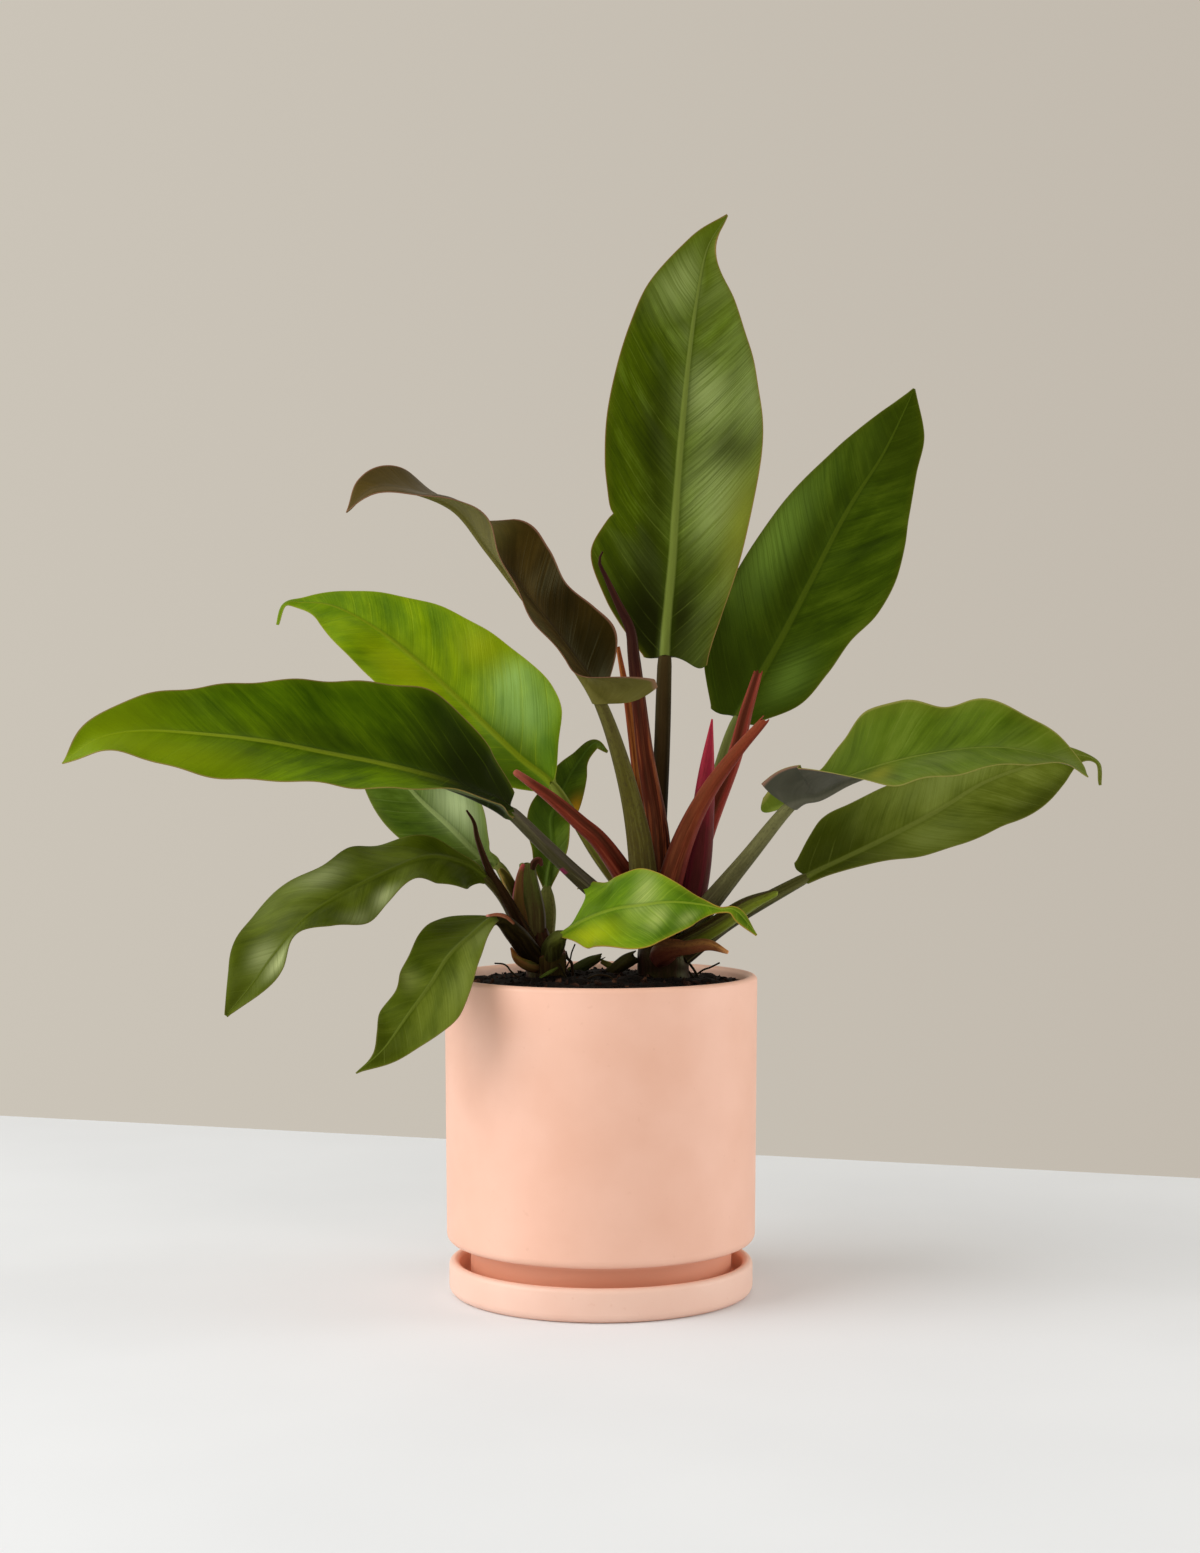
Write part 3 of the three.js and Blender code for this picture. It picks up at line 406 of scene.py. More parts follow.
pot.data.materials.append(matte_glaze("salmon_matte_glaze", "#EFC0AB", "#E9B7A0", foot=0.85))
saucer.data.materials.append(matte_glaze("salmon_saucer_glaze", "#EBC7B6", "#E7BFAD"))
finish_piece(pot, "pot_ceramic", "pot")
finish_piece(saucer, "saucer_ceramic", "saucer")
print("glazed:", pot.name, saucer.name)


# %% [markdown]
# ## Potting mix
#
# The pot is filled with a dark mix of peat, bark crumbs and fine root. A grid is drawn into a
# round sheet and raised into a low lumpy mound by a formula, because its lumps have to lie
# where the CAD model's do; its edge is then extruded down along the pot's wall. Some seventeen
# hundred crumbs and chips of bark, copies of a few small shapes, are strewn over it.

# %% Grid, points and attributes
def read_vectors(items, field):
    """One row of three numbers for each of a mesh's points or normals"""
    flat = np.empty(len(items) * 3, np.float32)
    items.foreach_get(field, flat)
    return flat.reshape(-1, 3).astype(float)


def add_grid(name, columns, rows):
    """A flat grid, with the place of each of its points from 0 to 1 both ways"""
    bpy.ops.object.select_all(action="DESELECT")
    bpy.ops.mesh.primitive_grid_add(x_subdivisions=columns, y_subdivisions=rows, size=2)
    piece = named(name)
    points = read_vectors(piece.data.vertices, "co")
    return piece, (points[:, 0] + 1) / 2, (points[:, 1] + 1) / 2


def set_points(piece, points_mm):
    """Move a mesh's points to places given in mm"""
    piece.data.vertices.foreach_set("co", (points_mm * MM).astype(np.float32).ravel())
    piece.data.update()


def write_attribute(piece, name, values):
    """Keep one number or three on each point, for the material to read"""
    kind, field = ("FLOAT_VECTOR", "vector") if values.ndim == 2 else ("FLOAT", "value")
    attribute = piece.data.attributes.new(name, kind, "POINT")
    attribute.data.foreach_set(field, values.astype(np.float32).ravel())


WAVES = 7


def ripple(points, size, seed):
    """A smooth random wave over points, mostly from -1 to 1, with lumps about as wide as size"""
    dice = np.random.default_rng(seed)
    total = np.zeros(len(points))
    for _ in range(WAVES):
        turn = dice.normal(size=3)
        turn *= math.tau / size / np.linalg.norm(turn) / dice.uniform(1.2, 2.2)
        total += np.sin(points @ turn + dice.uniform(0, math.tau))
    return total / 4


print("a ripple adds up", WAVES, "waves")

# %% The mound
# The mound is 175 mm high at the pot's rim and 6 mm more in the middle. EDGE and FOOT are radii
# and FLOOR is a height.
MOUND_EDGE, MOUND_FOOT = 83.3, 82.3
MOUND_HEIGHT, MOUND_FLOOR, MOUND_RISE = 175, 36.6, 6


def soil_height(x, y):
    share = np.hypot(x, y) / RIM_RADIUS
    fine = np.sin(x * 0.21 + 1.3) * np.cos(y * 0.17 + 0.4)
    broad = 0.6 * np.sin(x * 0.09 - y * 0.31)
    return MOUND_HEIGHT + MOUND_RISE * (1 - share ** 2) + 1.1 * (fine + broad)


soil, across, deep = add_grid("potting_mix_mound", 110, 110)
x, y = 2 * across - 1, 2 * deep - 1
disc = np.stack([MOUND_EDGE * x * np.sqrt(1 - y * y / 2), MOUND_EDGE * y * np.sqrt(1 - x * x / 2),
                 0 * x], -1)
lumps = 0.9 * ripple(disc, 7, 3) + 0.6 * ripple(disc, 3.2, 4)
rim_fade = np.clip((MOUND_EDGE - np.hypot(disc[:, 0], disc[:, 1])) / 4, 0, 1)
disc[:, 2] = soil_height(disc[:, 0], disc[:, 1]) + lumps * rim_fade
set_points(soil, disc)

# Its edge goes down along the wall and is flattened at its floor, which is closed and pushed in
bpy.ops.object.mode_set(mode="EDIT")
bpy.ops.mesh.select_mode(type="EDGE")
bpy.ops.mesh.select_all(action="DESELECT")
bpy.ops.mesh.select_non_manifold()
push(-130)
bpy.ops.transform.resize(value=(MOUND_FOOT / MOUND_EDGE, MOUND_FOOT / MOUND_EDGE, 0),
                         center_override=(0, 0, MOUND_FLOOR * MM))
bpy.ops.mesh.edge_face_add()
bpy.ops.mesh.select_mode(type="FACE")
inset(14)
push(-22.6)
face_outwards()
smooth_below(50)
print("mound from", round(min(v.co.z for v in soil.data.vertices) / MM, 1), "mm up")

# %% [markdown]
# Peat is nearly black when moist, and the bark in it is dark red-brown. Both are rough and
# dull; only moist crumbs glint a little. Its grit is some 2.5 mm wide. The crumbs carry a
# random number each, from which the same material gives each one its own tone.

# %% Moist potting mix
mix, tree = new_material("moist_peat_and_bark")
place = add_node(tree, "ShaderNodeTexCoord").outputs["Object"]
own = add_node(tree, "ShaderNodeAttribute", attribute_name="crumb_tone").outputs["Fac"]
grit = add_node(tree, "ShaderNodeTexNoise", {"Vector": place, "Scale": 420.0, "Detail": 4.0})
tone = add_node(tree, "ShaderNodeMath", {0: grit.outputs[0], 1: own}, operation="ADD")
shade = add_node(tree, "ShaderNodeValToRGB", {0: tone.outputs[0]},
                 stops=[(0.3, linear("#090502")), (0.6, linear("#150C06")), (0.85, linear("#30190D")),
                        (1.0, linear("#553624"))])
relief = add_node(tree, "ShaderNodeBump",
                  {"Height": grit.outputs[0], "Strength": 0.9, "Distance": 0.001})
surface = add_node(tree, "ShaderNodeBsdfPrincipled",
                   {"Base Color": shade.outputs[0], "Roughness": 0.85, "Specular IOR Level": 0.15,
                    "Normal": relief.outputs[0]})
add_node(tree, "ShaderNodeOutputMaterial", {"Surface": surface.outputs[0]})
soil.data.materials.append(mix)
finish_piece(soil, "potting_mix", "soil")
print("filled:", soil.name, "with", mix.name)

# %% Crumbs and bark chips
# Crumbs are strewn evenly over the mound, and those that fall on the foot of a crown are left
# out. Each foot is given by its place and radius. A crumb's size is its radius, and one that
# would touch the wall moves in. Large ones are bark, which is paler.
CRUMBS, CRUMB_SHAPES, CRUMB_POINTS = 1800, 6, 12
STREWN_RADIUS, CRUMB_EDGE = 81.5, 82.6
SMALLEST, LARGEST, BARK_FROM = 0.45, 3.4, 1.9
CROWN_FEET = ((36.5, 7, 15), (-33.5, 7, 11))
rng = np.random.default_rng(11)


def crumb_shapes(count):
    """A few crumbs, each a small faceted ball with its points pushed about"""
    shapes = []
    for _ in range(count):
        bpy.ops.mesh.primitive_ico_sphere_add(subdivisions=1, radius=1)
        ball = bpy.context.active_object
        points = np.array([v.co for v in ball.data.vertices])
        points *= rng.uniform(0.65, 1.2, (CRUMB_POINTS, 1))
        faces = np.array([list(f.vertices) for f in ball.data.polygons])
        shapes.append((points, faces))
        bpy.data.objects.remove(ball)
    return shapes


def random_turns(count):
    """Random rotations, each as a matrix made from four random numbers"""
    q = rng.normal(size=(count, 4))
    w, x, y, z = (q / np.linalg.norm(q, axis=1, keepdims=True)).T
    return np.stack([1 - 2 * (y * y + z * z), 2 * (x * y - z * w), 2 * (x * z + y * w),
                     2 * (x * y + z * w), 1 - 2 * (x * x + z * z), 2 * (y * z - x * w),
                     2 * (x * z - y * w), 2 * (y * z + x * w), 1 - 2 * (x * x + y * y)],
                    -1).reshape(-1, 3, 3)


shapes = crumb_shapes(CRUMB_SHAPES)
away = STREWN_RADIUS * np.sqrt(rng.uniform(0, 1, CRUMBS))
bearing = rng.uniform(0, math.tau, CRUMBS)
spots = np.stack([away * np.cos(bearing), away * np.sin(bearing)], -1)
for x, y, keep_off in CROWN_FEET:
    spots = spots[np.hypot(spots[:, 0] - x, spots[:, 1] - y) > keep_off]
sizes = rng.gamma(3.0, 0.32, len(spots)).clip(SMALLEST, LARGEST)
flatness = rng.uniform([0.7, 0.4, 0.3], [1.6, 1.0, 0.8], (len(spots), 3))
turns = random_turns(len(spots))
all_points, all_faces, all_tones = [], [], []
for spot, size, flat, turn in zip(spots, sizes, flatness, turns):
    points, faces = shapes[rng.integers(len(shapes))]
    moved = (points * flat * size) @ turn.T
    room = CRUMB_EDGE - np.hypot(*spot)
    base = soil_height(*spot) + 0.1 * size
    centre = np.array([*(spot * min(1, 1 - max(0, 1.5 * size - room) / 82)), base])
    all_faces.append(faces + CRUMB_POINTS * len(all_points))
    all_points.append(moved + centre)
    all_tones.append(np.full(CRUMB_POINTS, rng.uniform(-0.25, 0.3) + 0.12 * (size > BARK_FROM)))
crumb_mesh = bpy.data.meshes.new("bark_crumbs")
crumb_mesh.from_pydata((np.concatenate(all_points) * MM).tolist(), [],
                       np.concatenate(all_faces).tolist())
crumbs = bpy.data.objects.new("bark_crumbs", crumb_mesh)
bpy.context.scene.collection.objects.link(crumbs)
write_attribute(crumbs, "crumb_tone", np.concatenate(all_tones))
crumb_mesh.materials.append(mix)
finish_piece(crumbs, "potting_mix")
print("crumbs:", len(all_points), "largest", round(sizes.max(), 1), "mm")

# %% [markdown]
# ## The shapes of the plant
#
# Each leaf hangs on one curve: its stalk and, further on, the rib of its blade. The lists
# below are those of the CAD model, in millimetres: points along the stalk and the rib, the
# stalk's radius and the rib's, which way the upper face looks, and for each half of the
# blade how wide it is and how far it lifts, at even steps from base to tip. Only the lobes at
# the base of most blades, the foot of the right upright blade, and two of the bud sheaths are
# shaped a little more finely than in the CAD model.

# %% Leaves
LEAVES = {
    "leaf_tall": {
        "stalk": [(33, 17, 214), (33, 24, 259), (36, 36, 311), (38, 46, 367)],
        "rib": [(40, 54, 395), (43, 62, 426), (47, 76, 481), (53, 90, 544), (59, 102, 589),
            (66, 112, 623), (79, 120, 646)],
        "radius": [7, 5.4, 4.8, 4.3], "rib_radius": [3.4, 2.2, 0.8],
        "face": [(-0.1, -1, 0.1), (0, -1, 0.1), (0.1, -1, 0.1), (0.3, -1, 0)],
        "left": {"lobe": 1.5, "width": [13, 36, 49, 41, 45, 46.5, 44, 39, 31, 14.5, 0.6],
                  "lift": [0, 4, 8, 1, 5, 3, 5, 4, 2, 1, 0]},
        "right": {"lobe": 7, "curl": 2.4,
                  "width": [26, 33, 40, 45, 48.5, 49.5, 44, 35.5, 22.5, 5.5, 0.6],
                  "lift": [0, 2, 5, 3, 7, 4, 6, 5, 4, 3, 0]},
    },
    "leaf_right_upright": {
        "stalk": [(50, 18, 219), (61, 30, 268), (70, 42, 300), (82, 52, 331)],
        "rib": [(109, 66, 379), (128, 76, 415), (151, 88, 458), (173, 100, 492), (186, 106, 517),
            (194, 104, 535)],
        "radius": [6, 4.2, 3.4, 3], "rib_radius": [2.6, 1.8, 0.8],
        "face": [(-0.1, -1, 0.1), (0, -1, 0.1), (0, -1, 0.1)],
        "left": {"lobe": 3, "width": [18, 36, 43, 43, 41.5, 39, 34.5, 28.5, 23.5, 14, 0.6],
                  "lift": [0, 1.5, 5, 6, 5.4, 4.2, 4, 3.2, 2, 1, 0]},
        "right": {"lobe": 1.5, "width": [11, 29.5, 35, 38, 45, 46, 41.5, 33.5, 24, 17.5, 0.6],
                  "lift": [0, 3, 8, 5.3, 3, 5.8, 3.5, 4, 3, 2, 0]},
    },
    "leaf_bronze": {
        "stalk": [(27, -4, 214), (22, -16, 260), (12, -30, 303), (-1, -44, 339)],
        "rib": [(-17, -52, 364), (-39, -62, 393), (-61, -72, 421), (-80, -80, 443), (-106, -90, 452),
            (-123, -98, 451), (-136, -104, 438)],
        "radius": [9.5, 7.4, 5, 3.6], "rib_radius": [2.4, 1.6, 0.7],
        "face": [(0.85, 0, 0.5), (0.8, 0, 0.6), (0.75, 0, 0.65), (0.6, 0, 0.8), (0.1, 0, 1),
            (-0.2, 0, 1)],
        "left": {"lobe": 8, "width": [11, 26, 30, 31.5, 31.5, 31, 29, 26, 21, 11.5, 0.6],
                  "lift": [33, 0, -4, -6, -3.5, 0, 6, 2, -5, -3, 0]},
        "right": {"lobe": 2, "width": [9.5, 15.5, 19, 20, 19, 21, 28, 26, 19, 10.5, 0.6],
                  "lift": [6, 27, 27.5, 22, 27.5, 25, 4, 4, 13.5, 8.5, 0]},
    },
    "leaf_wavy_right": {
        "stalk": [(50, -1, 208), (81, -24, 248), (107, -42, 281)],
        "rib": [(122, -48, 287), (139, -54, 296), (165, -66, 305), (190, -78, 310), (215, -90, 312),
            (238, -98, 308), (252, -104, 303), (259, -110, 297)],
        "radius": [7, 5, 3.4], "rib_radius": [2.4, 1.6, 0.7],
        "face": [(-0.6, -0.1, 0.8), (-0.2, -0.1, 1), (0, -0.1, 1), (0, -0.1, 1), (0.2, -0.1, 1)],
        "left": {"lobe": 17, "width": [8, 19, 21, 20, 21, 21, 21, 19, 16.5, 10.5, 0.6],
                  "lift": [14, 10, 17, 32, 31.5, 25, 26, 22, 15.5, 6.5, 0]},
        "right": {"lobe": 3, "width": [8, 20, 28, 31.5, 32.5, 32.5, 30.5, 28, 23, 13.5, 0.6],
                  "lift": [22, 20, 11, -2, -9.5, -11.5, -10.5, -8.5, -4, -1, 0]},
    },
    "leaf_right_low": {
        "stalk": [(47, 3, 192), (74, 6, 212), (120, 14, 237)],
        "rib": [(141, 18, 247), (167, 26, 259), (199, 36, 275), (227, 46, 291), (255, 56, 301),
            (282, 62, 308), (299, 64, 304), (300, 60, 290)],
        "radius": [6, 4.5, 3], "rib_radius": [2.2, 1.5, 0.7],
        "face": [(-0.2, -0.9, 0.3), (-0.1, -0.9, 0.35), (0, -0.9, 0.4), (0.3, -0.9, 0.5)],
        "left": {"lobe": 3, "width": [12, 26, 27.5, 27, 25.5, 23.5, 20.5, 16.5, 9, 2.5, 0.6],
                  "lift": [0, 4, 6, 6, 5, 4, 3, 2, 1, 0, 0]},
        "right": {"lobe": 2, "width": [4, 8, 14.5, 21.5, 25.5, 29, 31, 28, 17.5, 3, 0.6],
                  "lift": [0, 5, 7, 6, 4, 3, 4, 3, 1, 0, 0]},
    },
    "leaf_lime": {
        "stalk": [(24, 14, 217), (0, 26, 247), (-15, 38, 270), (-30, 52, 291)],
        "rib": [(-51, 64, 308), (-86, 90, 341), (-114, 110, 366), (-141, 126, 387), (-169, 140, 402),
            (-191, 148, 405), (-202, 150, 404), (-206, 148, 391)],
        "radius": [5.5, 4.2, 3.4, 3], "rib_radius": [2.6, 1.6, 0.7],
        "face": [(-0.1, -0.85, 0.45), (-0.1, -0.8, 0.5), (-0.15, -0.7, 0.6), (-0.3, -0.6, 0.7)],
        "left": {"lobe": 6, "width": [8.5, 23, 30, 32, 32, 30, 28, 25, 17, 4.5, 1.2],
                  "lift": [0, 3, 4, 3, 2, 2, 1, 1, 0, 0, 0]},
        "right": {"lobe": 1, "width": [3, 34.5, 46, 47, 45.5, 42.5, 36.5, 26, 15, 4.5, 1.2],
                  "lift": [0, 4, 6, 5, 5, 4, 3, 2, 1, 0, 0]},
    },
    "leaf_left_long": {
        "stalk": [(26, -1, 205), (-8, -12, 234), (-32, -22, 257), (-52, -34, 277)],
        "rib": [(-67, -42, 286), (-87, -52, 294), (-112, -64, 301), (-145, -78, 308), (-178, -92, 315),
            (-210, -104, 319), (-242, -114, 321), (-265, -120, 317), (-284, -122, 304)],
        "radius": [6, 5, 4.2, 3.6], "rib_radius": [3, 2, 0.8],
        "face": [(-0.2, -0.62, 0.78), (0, -0.62, 0.78), (0, -0.62, 0.78), (-0.2, -0.62, 0.78)],
        "left": {"lobe": 4, "width": [6, 24, 26, 30, 34, 33, 30.5, 28, 22, 14, 0.6],
                  "lift": [2, 14, 12, 8, 6, 3, -4, -6, -4, 0, 0]},
        "right": {"lobe": 0, "width": [14, 33, 42, 42.5, 41, 36.5, 33, 26.5, 20, 11.5, 0.6],
                  "lift": [3, 15.5, 27, 26, 22, 19.5, 14.5, 12.5, 10.5, 7, 0]},
    },
    "leaf_left_back": {
        "stalk": [(-42, 12, 198), (-52, 28, 227), (-61, 38, 243)],
        "rib": [(-71, 44, 247), (-91, 60, 265), (-111, 76, 282), (-130, 92, 302), (-149, 106, 320),
            (-164, 114, 329)],
        "radius": [5, 4.4, 2.8], "rib_radius": [2.2, 1.4, 0.7],
        "face": [(-0.2, -0.95, 0.1), (-0.1, -0.95, 0.2), (-0.1, -0.9, 0.3)],
        "left": {"lobe": 1, "width": [3, 13, 21, 24.5, 25.5, 25.5, 23.5, 19.5, 13.5, 6, 0.6],
                  "lift": [0, 2, 4, 4, 4, 3, 3, 2, 1, 0, 0]},
        "right": {"lobe": 0, "width": [2, 12, 21.5, 26.5, 27.5, 26.5, 23.5, 19.5, 13.5, 6, 0.6],
                  "lift": [0, 3, 5, 5, 5, 4, 3, 2, 1, 0, 0]},
    },
    "leaf_left_curly": {
        "stalk": [(-42, 3, 200), (-55, -6, 225), (-67, -14, 239)],
        "rib": [(-79, -22, 247), (-96, -34, 251), (-115, -44, 245), (-142, -58, 232), (-162, -68, 219),
            (-178, -76, 200), (-190, -82, 183), (-203, -86, 167)],
        "radius": [5, 3.6, 2.6], "rib_radius": [2, 1.3, 0.7],
        "face": [(-0.1, -0.8, 0.6), (-0.1, -0.8, 0.6), (-0.3, -0.8, 0.5), (-0.4, -0.85, 0.3)],
        "left": {"lobe": 3, "width": [5, 20.5, 16.5, 15.5, 16.5, 21.5, 18.5, 10, 11.5, 8, 0.6],
                  "lift": [0, 3, -4, 5, -4, -6, 4, 9, 2, 0, 0]},
        "right": {"lobe": 0, "width": [2, 5, 14, 23.5, 23.5, 20.5, 26.5, 31.5, 25.5, 16.5, 0.6],
                  "lift": [0, 3, 2, -5, 3, 6, 0, -4, 1, 2, 0]},
    },
    "leaf_left_droop": {
        "stalk": [(-39, -2, 192), (-49, -18, 207), (-59, -32, 216)],
        "rib": [(-73, -48, 207), (-84, -62, 197), (-93, -74, 183), (-104, -84, 168), (-117, -94, 150),
            (-131, -102, 138)],
        "radius": [7, 6, 2.8], "rib_radius": [2, 1.3, 0.7],
        "face": [(-0.3, -0.6, 0.7), (-0.3, -0.8, 0.5), (-0.3, -0.85, 0.35), (-0.4, -0.85, 0.3)],
        "left": {"lobe": 0, "width": [2, 9, 14, 18.5, 22, 25, 27.5, 24, 15, 7, 0.6],
                  "lift": [0, 2, 4, 3, 1, 2, 4, 3, 1, 0, 0]},
        "right": {"lobe": 2, "width": [4, 21, 24, 23, 19, 19, 13, 17, 8, 2, 0.6],
                  "lift": [0, 2, 3, 4, 6, 2, 5, -2, 3, 1, 0]},
    },
    "leaf_back_hook": {
        "stalk": [(-32, 16, 188), (-32, 26, 205), (-32, 36, 229)],
        "rib": [(-29, 46, 252), (-30, 56, 270), (-26, 64, 281), (-20, 72, 294), (-13, 80, 305),
            (-4, 86, 315), (4, 90, 310)],
        "radius": [4, 4.8, 5.6, 2.4], "rib_radius": [1.8, 1.2, 0.7],
        "face": [(0, -1, 0.2), (0, -1, 0.3), (0.1, -0.9, 0.4), (0, -0.8, 0.7)],
        "left": {"lobe": 0, "width": [2, 9, 12, 14, 14, 12, 11, 9, 6, 4, 0.6],
                  "lift": [0, 2, 3, 2, 3, 4, 3, 1, 0, 0, 0]},
        "right": {"lobe": 0, "width": [2, 6, 9, 11, 12, 14, 13, 10, 5, 4, 0.6],
                  "lift": [0, 2, 3, 4, 2, -2, 2, 2, 0, 0, 0]},
    },
    "leaf_front": {
        "stalk": [(-31, -1, 190), (-27, -10, 199), (-22, -20, 206)],
        "rib": [(-7, -34, 216), (8, -46, 222), (24, -56, 225), (39, -63, 227), (55, -69, 226),
            (65, -73, 224), (74, -75, 223), (85, -76, 210)],
        "radius": [6.5, 6, 2.4], "rib_radius": [1.8, 1.2, 0.7],
        "face": [(-0.1, -0.75, 0.65), (-0.1, -0.75, 0.65), (0, -0.75, 0.65), (0.2, -0.75, 0.65)],
        "left": {"lobe": -18, "curl": 0.8, "width": [2, 27, 27, 23, 25, 21, 12, 5, 1.2, 3, 0.6],
                  "lift": [0, 2, -4, 2, 4, 2, 2, 1, 0, 0, 0]},
        "right": {"lobe": 0, "width": [2, 12, 22, 28, 30, 33, 29, 18, 2.5, 5.5, 0.6],
                  "lift": [0, 2, 1, 4, 2, 4, 2, 1, 0, 0, 0]},
    },
}
print("leaves:", len(LEAVES))

# %% Bud sheaths, young leaf, stub, spike and bracts
SHEATHS = {
    "young_leaf": {
        "path": [(36, 7, 216), (34, 8, 242), (32, 9, 271), (26, 9, 307), (22, 8, 340), (19, 8, 366),
            (17, 8, 381), (10, 7, 396), (3, 6, 411), (-1, 5, 420), (1, 4, 426)],
        "radius": [8.5, 7.6, 6.4, 5.2, 4.6, 4, 3.6, 2.8, 1.8, 0.5], "face": (-0.2, -1, 0),
    },
    "sheath_behind": {
        "path": [(28, 17, 216), (23, 21, 282), (17, 27, 332), (10, 33, 372)],
        "radius": [4.5, 3.6, 3, 1.2], "face": (0, -1, 0),
    },
    "bud_crimson": {
        "path": [(50, 4, 207), (56, 2, 248), (59, 0, 277), (61, -1, 300), (64, -2, 329)],
        "radius": [6.8, 8.2, 7, 4.6, 0.5], "face": (0, -1, 0),
    },
    "sheath_tall": {
        "path": [(50, 13, 214), (60.5, 18, 259), (77.5, 24, 305), (85.5, 28, 334), (93, 32, 358)],
        "radius": [5.5, 5, 4.6, 4.2, 2.6], "face": (-0.3, -1, 0),
    },
    "sheath_near": {
        "path": [(34, -6, 214), (45, -14, 254), (58, -22, 283), (75, -30, 308), (93, -36, 329)],
        "radius": [7.8, 6.8, 5.2, 3.9, 2.4], "face": (-0.5, -0.8, 0.2),
    },
    "sheath_left": {
        "path": [(26, 4, 219), (2, -2, 255), (-12, -8, 269), (-29, -14, 284), (-48, -18, 298)],
        "radius": [7, 6, 4.8, 3.6, 2], "face": (0.4, -0.8, 0.5),
    },
    "bract_base": {
        "path": [(34, -6, 192), (38, -22, 198), (48, -34, 200), (60, -40, 202), (71, -44, 198)],
        "radius": [6, 7, 4.5, 3.6, 1], "face": (0, -0.3, 1),
    },
    "sheath_right": {
        "path": [(44, -5, 198), (64, -14, 210), (83, -20, 223), (98, -24, 230)],
        "radius": [6, 5.5, 5, 2.4], "face": (-0.3, -0.4, 0.8),
    },
    "stub_side": {
        "path": [(-38, 6, 198), (-39, 8, 218), (-42, 8, 236), (-43, 8, 246)],
        "radius": [6, 6.5, 5.6, 4.6], "face": (0, -1, 0),
    },
    "spike_dry": {
        "path": [(-44, -2, 206), (-55, -8, 227), (-64, -14, 243), (-70, -20, 260), (-72, -24, 270),
            (-76, -28, 277)],
        "radius": [4, 3.4, 2.6, 2, 1.4, 0.6], "face": (0, -1, 0),
    },
    "bract_side": {
        "path": [(-36, -1, 186), (-42, -9, 188), (-48, -15, 192), (-51, -17, 198)],
        "radius": [3.5, 3.5, 2.6, 0.8], "face": (0, -0.3, 1),
    },
}
print("sheaths:", len(SHEATHS))

# %% [markdown]
# A leaf blade bends, waves and twists all at once, and no modifier draws that from a photo's
# outline. So it starts as a flat grid, as a maker would start, and each point of the grid is
# then placed by a formula along the leaf's curve. The same curve carries the stalk.

# %% A smooth curve, with places on it by share of its length
SAMPLES = 200
NUDGE = 1e-4


def along(values, t):
    """The value at share t of a list at even steps, joined by a smooth curve"""
    values = np.asarray(values, float)
    place = np.clip(np.asarray(t, float), 0, 1) * (len(values) - 1)
    i = np.minimum(place.astype(int), len(values) - 2)
    f = place - i
    padded = np.concatenate([[2 * values[0] - values[1]], values, [2 * values[-1] - values[-2]]])
    a, b, c, d = (padded[i + k] for k in range(4))
    return b + 0.5 * ((c - a) * f + (2 * a - 5 * b + 4 * c - d) * f ** 2
                      + (3 * b - a - 3 * c + d) * f ** 3)


def unit(vectors):
    return vectors / np.linalg.norm(vectors, axis=-1, keepdims=True)


class Axis:
    """The curve of a stalk, with the way that its upper face looks"""

    def __init__(self, points, face):
        self.points = np.asarray(points, float)
        self.face, self.face_from = np.asarray(face, float), 0.0
        self.t = np.linspace(0, 1, SAMPLES + 1)
        drawn = self.at(self.t)
        steps = np.linalg.norm(np.diff(drawn, axis=0), axis=1)
        self.far = np.concatenate([[0], np.cumsum(steps)])
        self.length = self.far[-1]

    def at(self, t):
        return np.stack([along(column, t) for column in self.points.T], -1)

    def share_of_point(self, i):
        return float(np.interp(i / (len(self.points) - 1), self.t, self.far) / self.length)

    def frame(self, share):
        """Centre, and the directions along the curve, out of the upper face and to its right"""
        t = np.interp(np.clip(share, 0, 1) * self.length, self.far, self.t)
        tangent = unit(self.at(np.clip(t + NUDGE, 0, 1)) - self.at(np.clip(t - NUDGE, 0, 1)))
        if len(self.face) > 1:
            t_face = (np.asarray(share) - self.face_from) / (1 - self.face_from)
            normal = np.stack([along(column, t_face) for column in self.face.T], -1)
        else:
            normal = np.broadcast_to(self.face[0], tangent.shape)
        normal = unit(normal)
        normal = unit(normal - (normal * tangent).sum(-1, keepdims=True) * tangent)
        return self.at(t), tangent, normal, np.cross(tangent, normal)


tall_axis = Axis(LEAVES["leaf_tall"]["stalk"] + LEAVES["leaf_tall"]["rib"], [(0, -1, 0)])
print("tallest leaf with its stalk:", round(tall_axis.length), "mm")

# %% The surface of a blade
# A point lies at share s of the blade's length and v of its half width, below 0 on the left.
# Side veins sweep forward, and more so further out. Waves of the margin are 37 mm long.
VEIN_SWEEP, VEIN_CURVE = 0.9, 0.008
RUFFLE_MM = 37
LOBE_CURL, MIN_WIDTH = 1.3, 0.6


def half_width(values, q):
    """Half a blade's width in mm; behind its base the margin runs on at the same slope"""
    slope = (values[1] - values[0]) * (len(values) - 1)
    behind = np.maximum(0.6 * slope * np.minimum(q, 0), -0.5 * values[0])
    return (along(values, q) + behind).clip(MIN_WIDTH)


